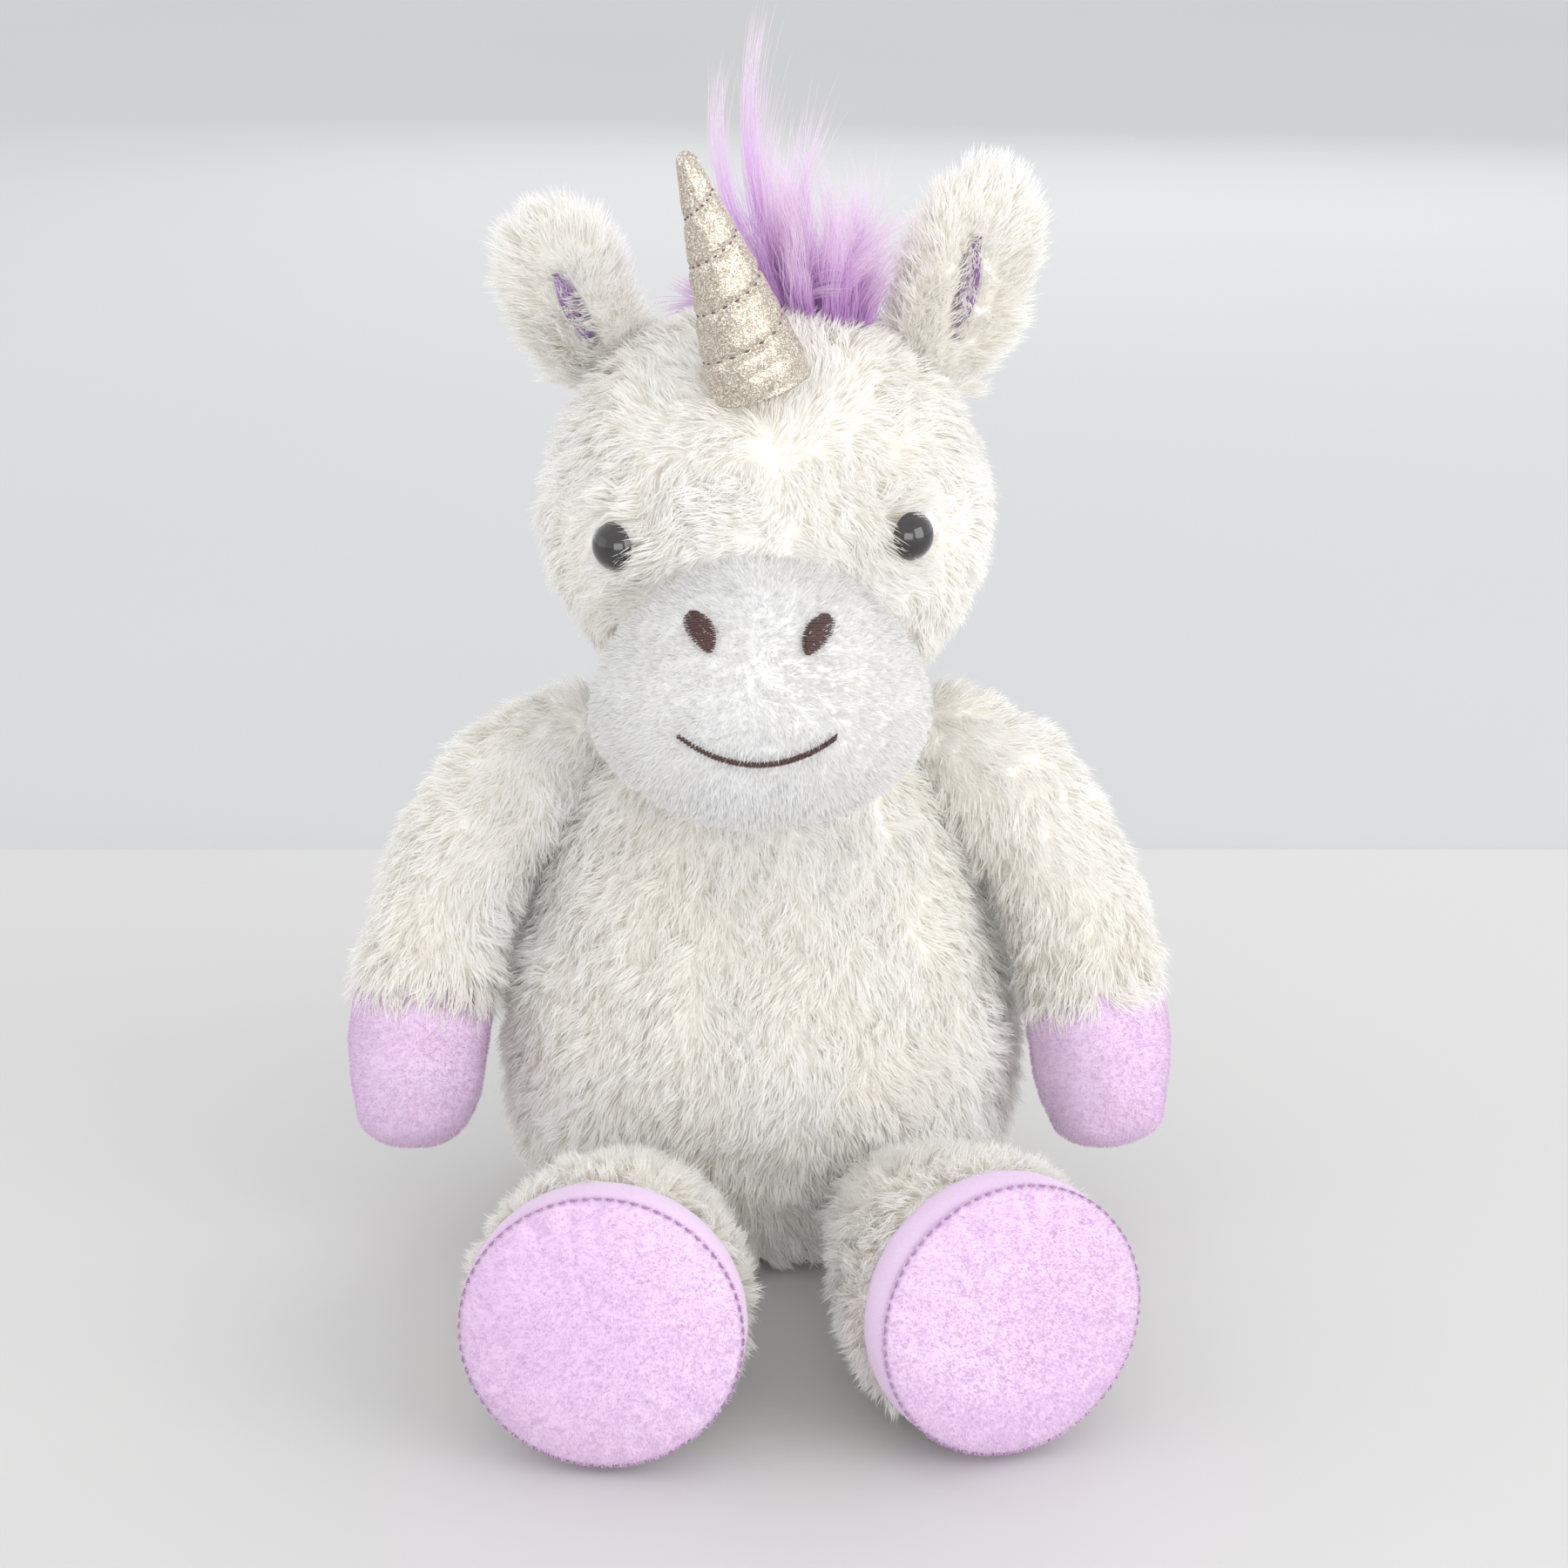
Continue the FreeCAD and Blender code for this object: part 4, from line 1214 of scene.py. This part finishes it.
def long_pile(name, roots, directions, lengths, droop, spread, width, body, replaced=()):
    """Long thin fibres, each a smooth line of points."""
    count = len(roots)
    steps = 9
    t = np.linspace(0.0, 1.0, steps)[None, :, None]
    leads = RANDOM.choice(count, max(6, count // 55), replace=False)
    lead = nearest_lead(roots, leads)
    bend = RANDOM.normal(0.0, spread, (count, 3))
    bend = 0.72 * bend[lead] + 0.28 * bend
    aim = unit(directions + 0.35 * bend)
    size = lengths[:, None, None]
    paths = roots[:, None] + aim[:, None] * size * t
    paths = paths + (bend * 0.5)[:, None] * size * t ** 2.2
    paths = paths + np.array((0.0, 0.0, -1.0)) * (droop * size) * t ** 2.4
    wave = 0.02 * size * np.sin(9.0 * t + RANDOM.random(count)[lead][:, None, None] * 6.0)
    paths = paths + wave * np.array((1.0, 0.6, 0.0))
    paths = paths[lead] + (paths - paths[lead]) * (1.0 - 0.45 * t)
    side = facing_side(paths, 0.5)
    tone = 0.5 * RANDOM.random(count) + 0.5 * RANDOM.random(count)[lead]
    obj = ribbons(name, paths, side, width * np.linspace(1.0, 0.5, steps - 1), tone)
    return finished(obj, body, MANE_PILE, replaced)


def wisps():
    """The few long locks above the tuft."""
    steps = 11
    t = np.linspace(0.0, 1.0, steps)[None, :, None]
    locks, tones = [], []
    for start, bend, end, count, spread in WISPS:
        root = np.array(start) + RANDOM.normal(0.0, 2.4, (count, 3)) * np.array((1.0, 1.0, 0.2))
        control = np.array(bend) + RANDOM.normal(0.0, 1.8, (count, 3))
        reach = 0.62 + 0.38 * RANDOM.random((count, 1)) ** 0.7
        tip = np.array(end) + RANDOM.normal(0.0, spread, (count, 3))
        tip = control + (tip - control) * reach
        near, bent = root[:, None] * (1 - t) ** 2, control[:, None] * 2 * t * (1 - t)
        locks.append(near + bent + tip[:, None] * t ** 2)
        tones.append(RANDOM.random(count))
    paths = np.concatenate(locks)
    side = facing_side(paths, 0.4)
    obj = ribbons("mane_wisps", paths, side, 0.16 * np.linspace(1.0, 0.4, steps - 1), np.concatenate(tones))
    finished(obj, "head", MANE_PILE)


def crown_height(x, y):
    """Height of the head's skin above a place on the crown."""
    radii = np.array(HEAD_RADII) - PILE_DEPTH
    flat = ((x - HEAD.x) / radii[0]) ** 2 + ((y - HEAD.y) / radii[1]) ** 2
    return HEAD.z + radii[2] * np.sqrt(1.0 - flat)


def tuft_strands(count):
    """Roots, directions and lengths of the tuft behind the horn."""
    turn = RANDOM.random(count) * 2.0 * math.pi
    far = np.sqrt(RANDOM.random(count))
    x = TUFT_BASE.x + 2.0 + 15.0 * far * np.cos(turn)
    y = TUFT_BASE.y + 10.0 * far * np.sin(turn)
    roots = np.stack([x, y, crown_height(x, y) - 1.0], 1)
    aim = np.stack([(x - TUFT_BASE.x) * 0.022 - 0.06, (y - TUFT_BASE.y) * 0.02 + 0.05, np.ones(count)], 1)
    return roots, aim, 15.0 + 34.0 * RANDOM.random(count) ** 1.9


def strip_strands(count):
    """Roots, directions and lengths of the strip down the back of the head."""
    x = HEAD.x + 9.5 * (2.0 * RANDOM.random(count) - 1.0)
    angle = np.radians(4.0 + 108.0 * RANDOM.random(count))
    radii = np.array(HEAD_RADII) - PILE_DEPTH + 0.5
    roots = np.stack([x, HEAD.y + radii[1] * np.sin(angle), HEAD.z + radii[2] * np.cos(angle)], 1)
    aim = unit((roots - np.array(HEAD)) / radii ** 2) * 0.75 + np.array((0.0, 0.3, -1.0)) * 0.65
    aim[:, 0] += 0.03 * (x - HEAD.x)
    return roots, aim, 17.0 + 12.0 * RANDOM.random(count)


def mane():
    """The tuft behind the horn, the strip of pile behind it and the wisps."""
    tuft = tuft_strands(3000)
    strip = strip_strands(5200)
    long_pile("mane_tuft", *tuft, 0.02, 0.42, 0.2, "head", ["mane_pile"])
    long_pile("mane_strip", *strip, 0.22, 0.35, 0.30, "head")
    wisps()


def tail():
    """The hanging tail: a sewn root and long pile all round it."""
    rows = []
    for k, (x, y, z, radius) in enumerate(TAIL_LINE):
        ahead = Vector(TAIL_LINE[min(k + 1, len(TAIL_LINE) - 1)][:3])
        behind = Vector(TAIL_LINE[max(k - 1, 0)][:3])
        rows.append((Vector((x, y, z)), (ahead - behind).normalized(), radius))
    core_rows = [(point, along, max(1.6, radius * 0.45)) for point, along, radius in rows[:5]]
    core = swept("tail_core", core_rows, LEFT, count=24)
    finished(core, "tail", LAVENDER_CLOTH, ["tail_root"])
    count = 5200
    k = RANDOM.random(count) ** 1.3 * (len(rows) - 2.4)
    low = k.astype(int)
    t = (k - low)[:, None]
    table = np.array([(*point, *along, radius) for point, along, radius in rows])
    between = table[low] * (1.0 - t) + table[low + 1] * t
    middle, along, radius = between[:, :3], unit(between[:, 3:6]), between[:, 6]
    turn = RANDOM.random(count) * 2.0 * math.pi
    side = np.array(LEFT)
    out = side * np.cos(turn)[:, None] + np.cross(side, along) * np.sin(turn)[:, None]
    roots = middle + out * (radius * 0.35)[:, None]
    lengths = 20.0 + 10.0 * RANDOM.random(count) - 5.0 * k / 4.0
    aim = along + out * 0.35
    obj = long_pile("tail_strands", roots, aim, lengths, 0.05, 0.22, 0.32, "tail", ["tail_pile"])
    points = coordinates(obj)
    points[:, 2] = np.maximum(points[:, 2], 1.0)
    set_coordinates(obj, points)


# ---------------------------------------------------------------- floor, light, camera
def level_square(name, far_edge, height, material):
    """A wide level surface that ends at a far edge."""
    reach = 9000.0
    corners = [(-reach, -reach), (reach, -reach), (reach, far_edge), (-reach, far_edge)]
    obj = mesh_object(name, [(x, y, height) for x, y in corners], [(0, 1, 2, 3)])
    obj.data.materials.append(material)
    return obj


def floor():
    """The pale table top, and a grey ground beyond its far edge."""
    table = level_square("table", 307.0, 0.0, plain_material("table_top", (0.63, 0.627, 0.618), 0.6))
    ground = level_square("ground", 9000.0, -4.0, plain_material("ground_grey", (0.60, 0.60, 0.603), 0.9))


def area_light(name, place, size, power, colour=PURE_WHITE):
    """A soft square light aimed at the toy's middle. Place and size are in metres."""
    data = bpy.data.lights.new(name, "AREA")
    data.shape = "SQUARE"
    data.size = size
    data.energy = power
    data.color = colour
    lamp = linked(name, data)
    lamp.location = place
    lamp.visible_camera = False
    lamp.rotation_euler = (Vector((0.0, -0.03, 0.13)) - Vector(place)).to_track_quat("-Z", "Y").to_euler()


def lights():
    """Broad low lights all round, the strongest from the unicorn's left, and a pale sky."""
    area_light("key", (1.5, -1.2, 0.75), 1.4, 15.0)
    area_light("front", (0.1, -1.9, 0.24), 1.3, 13.0)
    area_light("side", (-1.8, -0.5, 0.45), 1.4, 2.5, (1.0, 0.985, 0.97))
    area_light("back", (0.3, 1.9, 0.9), 1.4, 5.0, (0.98, 0.99, 1.0))
    world = bpy.data.worlds.new("pale_sky")
    bpy.context.scene.world = world
    world.use_nodes = True
    background = world.node_tree.nodes["Background"]
    background.inputs["Color"].default_value = (0.93, 0.935, 0.95, 1.0)
    background.inputs["Strength"].default_value = 1.1


def camera():
    """The view from in front, 18 degrees down. Places are in metres."""
    data = bpy.data.cameras.new("camera")
    data.sensor_width = 36.0
    data.lens = 83.4
    data.clip_start = 0.05
    lens = linked("camera", data)
    lens.location = (0.0067, -0.951, 0.434)
    lens.rotation_euler = (math.radians(90.0 - 18.0), 0.0, 0.0)
    bpy.context.scene.camera = lens
    bpy.context.scene.view_settings.view_transform = "Standard"


camera()
lights()
floor()
torso()
neck()
head()
horn()
ear("left_ear", LEFT_EAR)
ear("right_ear", RIGHT_EAR)
arm("left_arm", 1.0)
arm("right_arm", -1.0)
leg("left", LEFT_LEG, 40.0)
leg("right", RIGHT_LEG, 55.0)
mane()
tail()
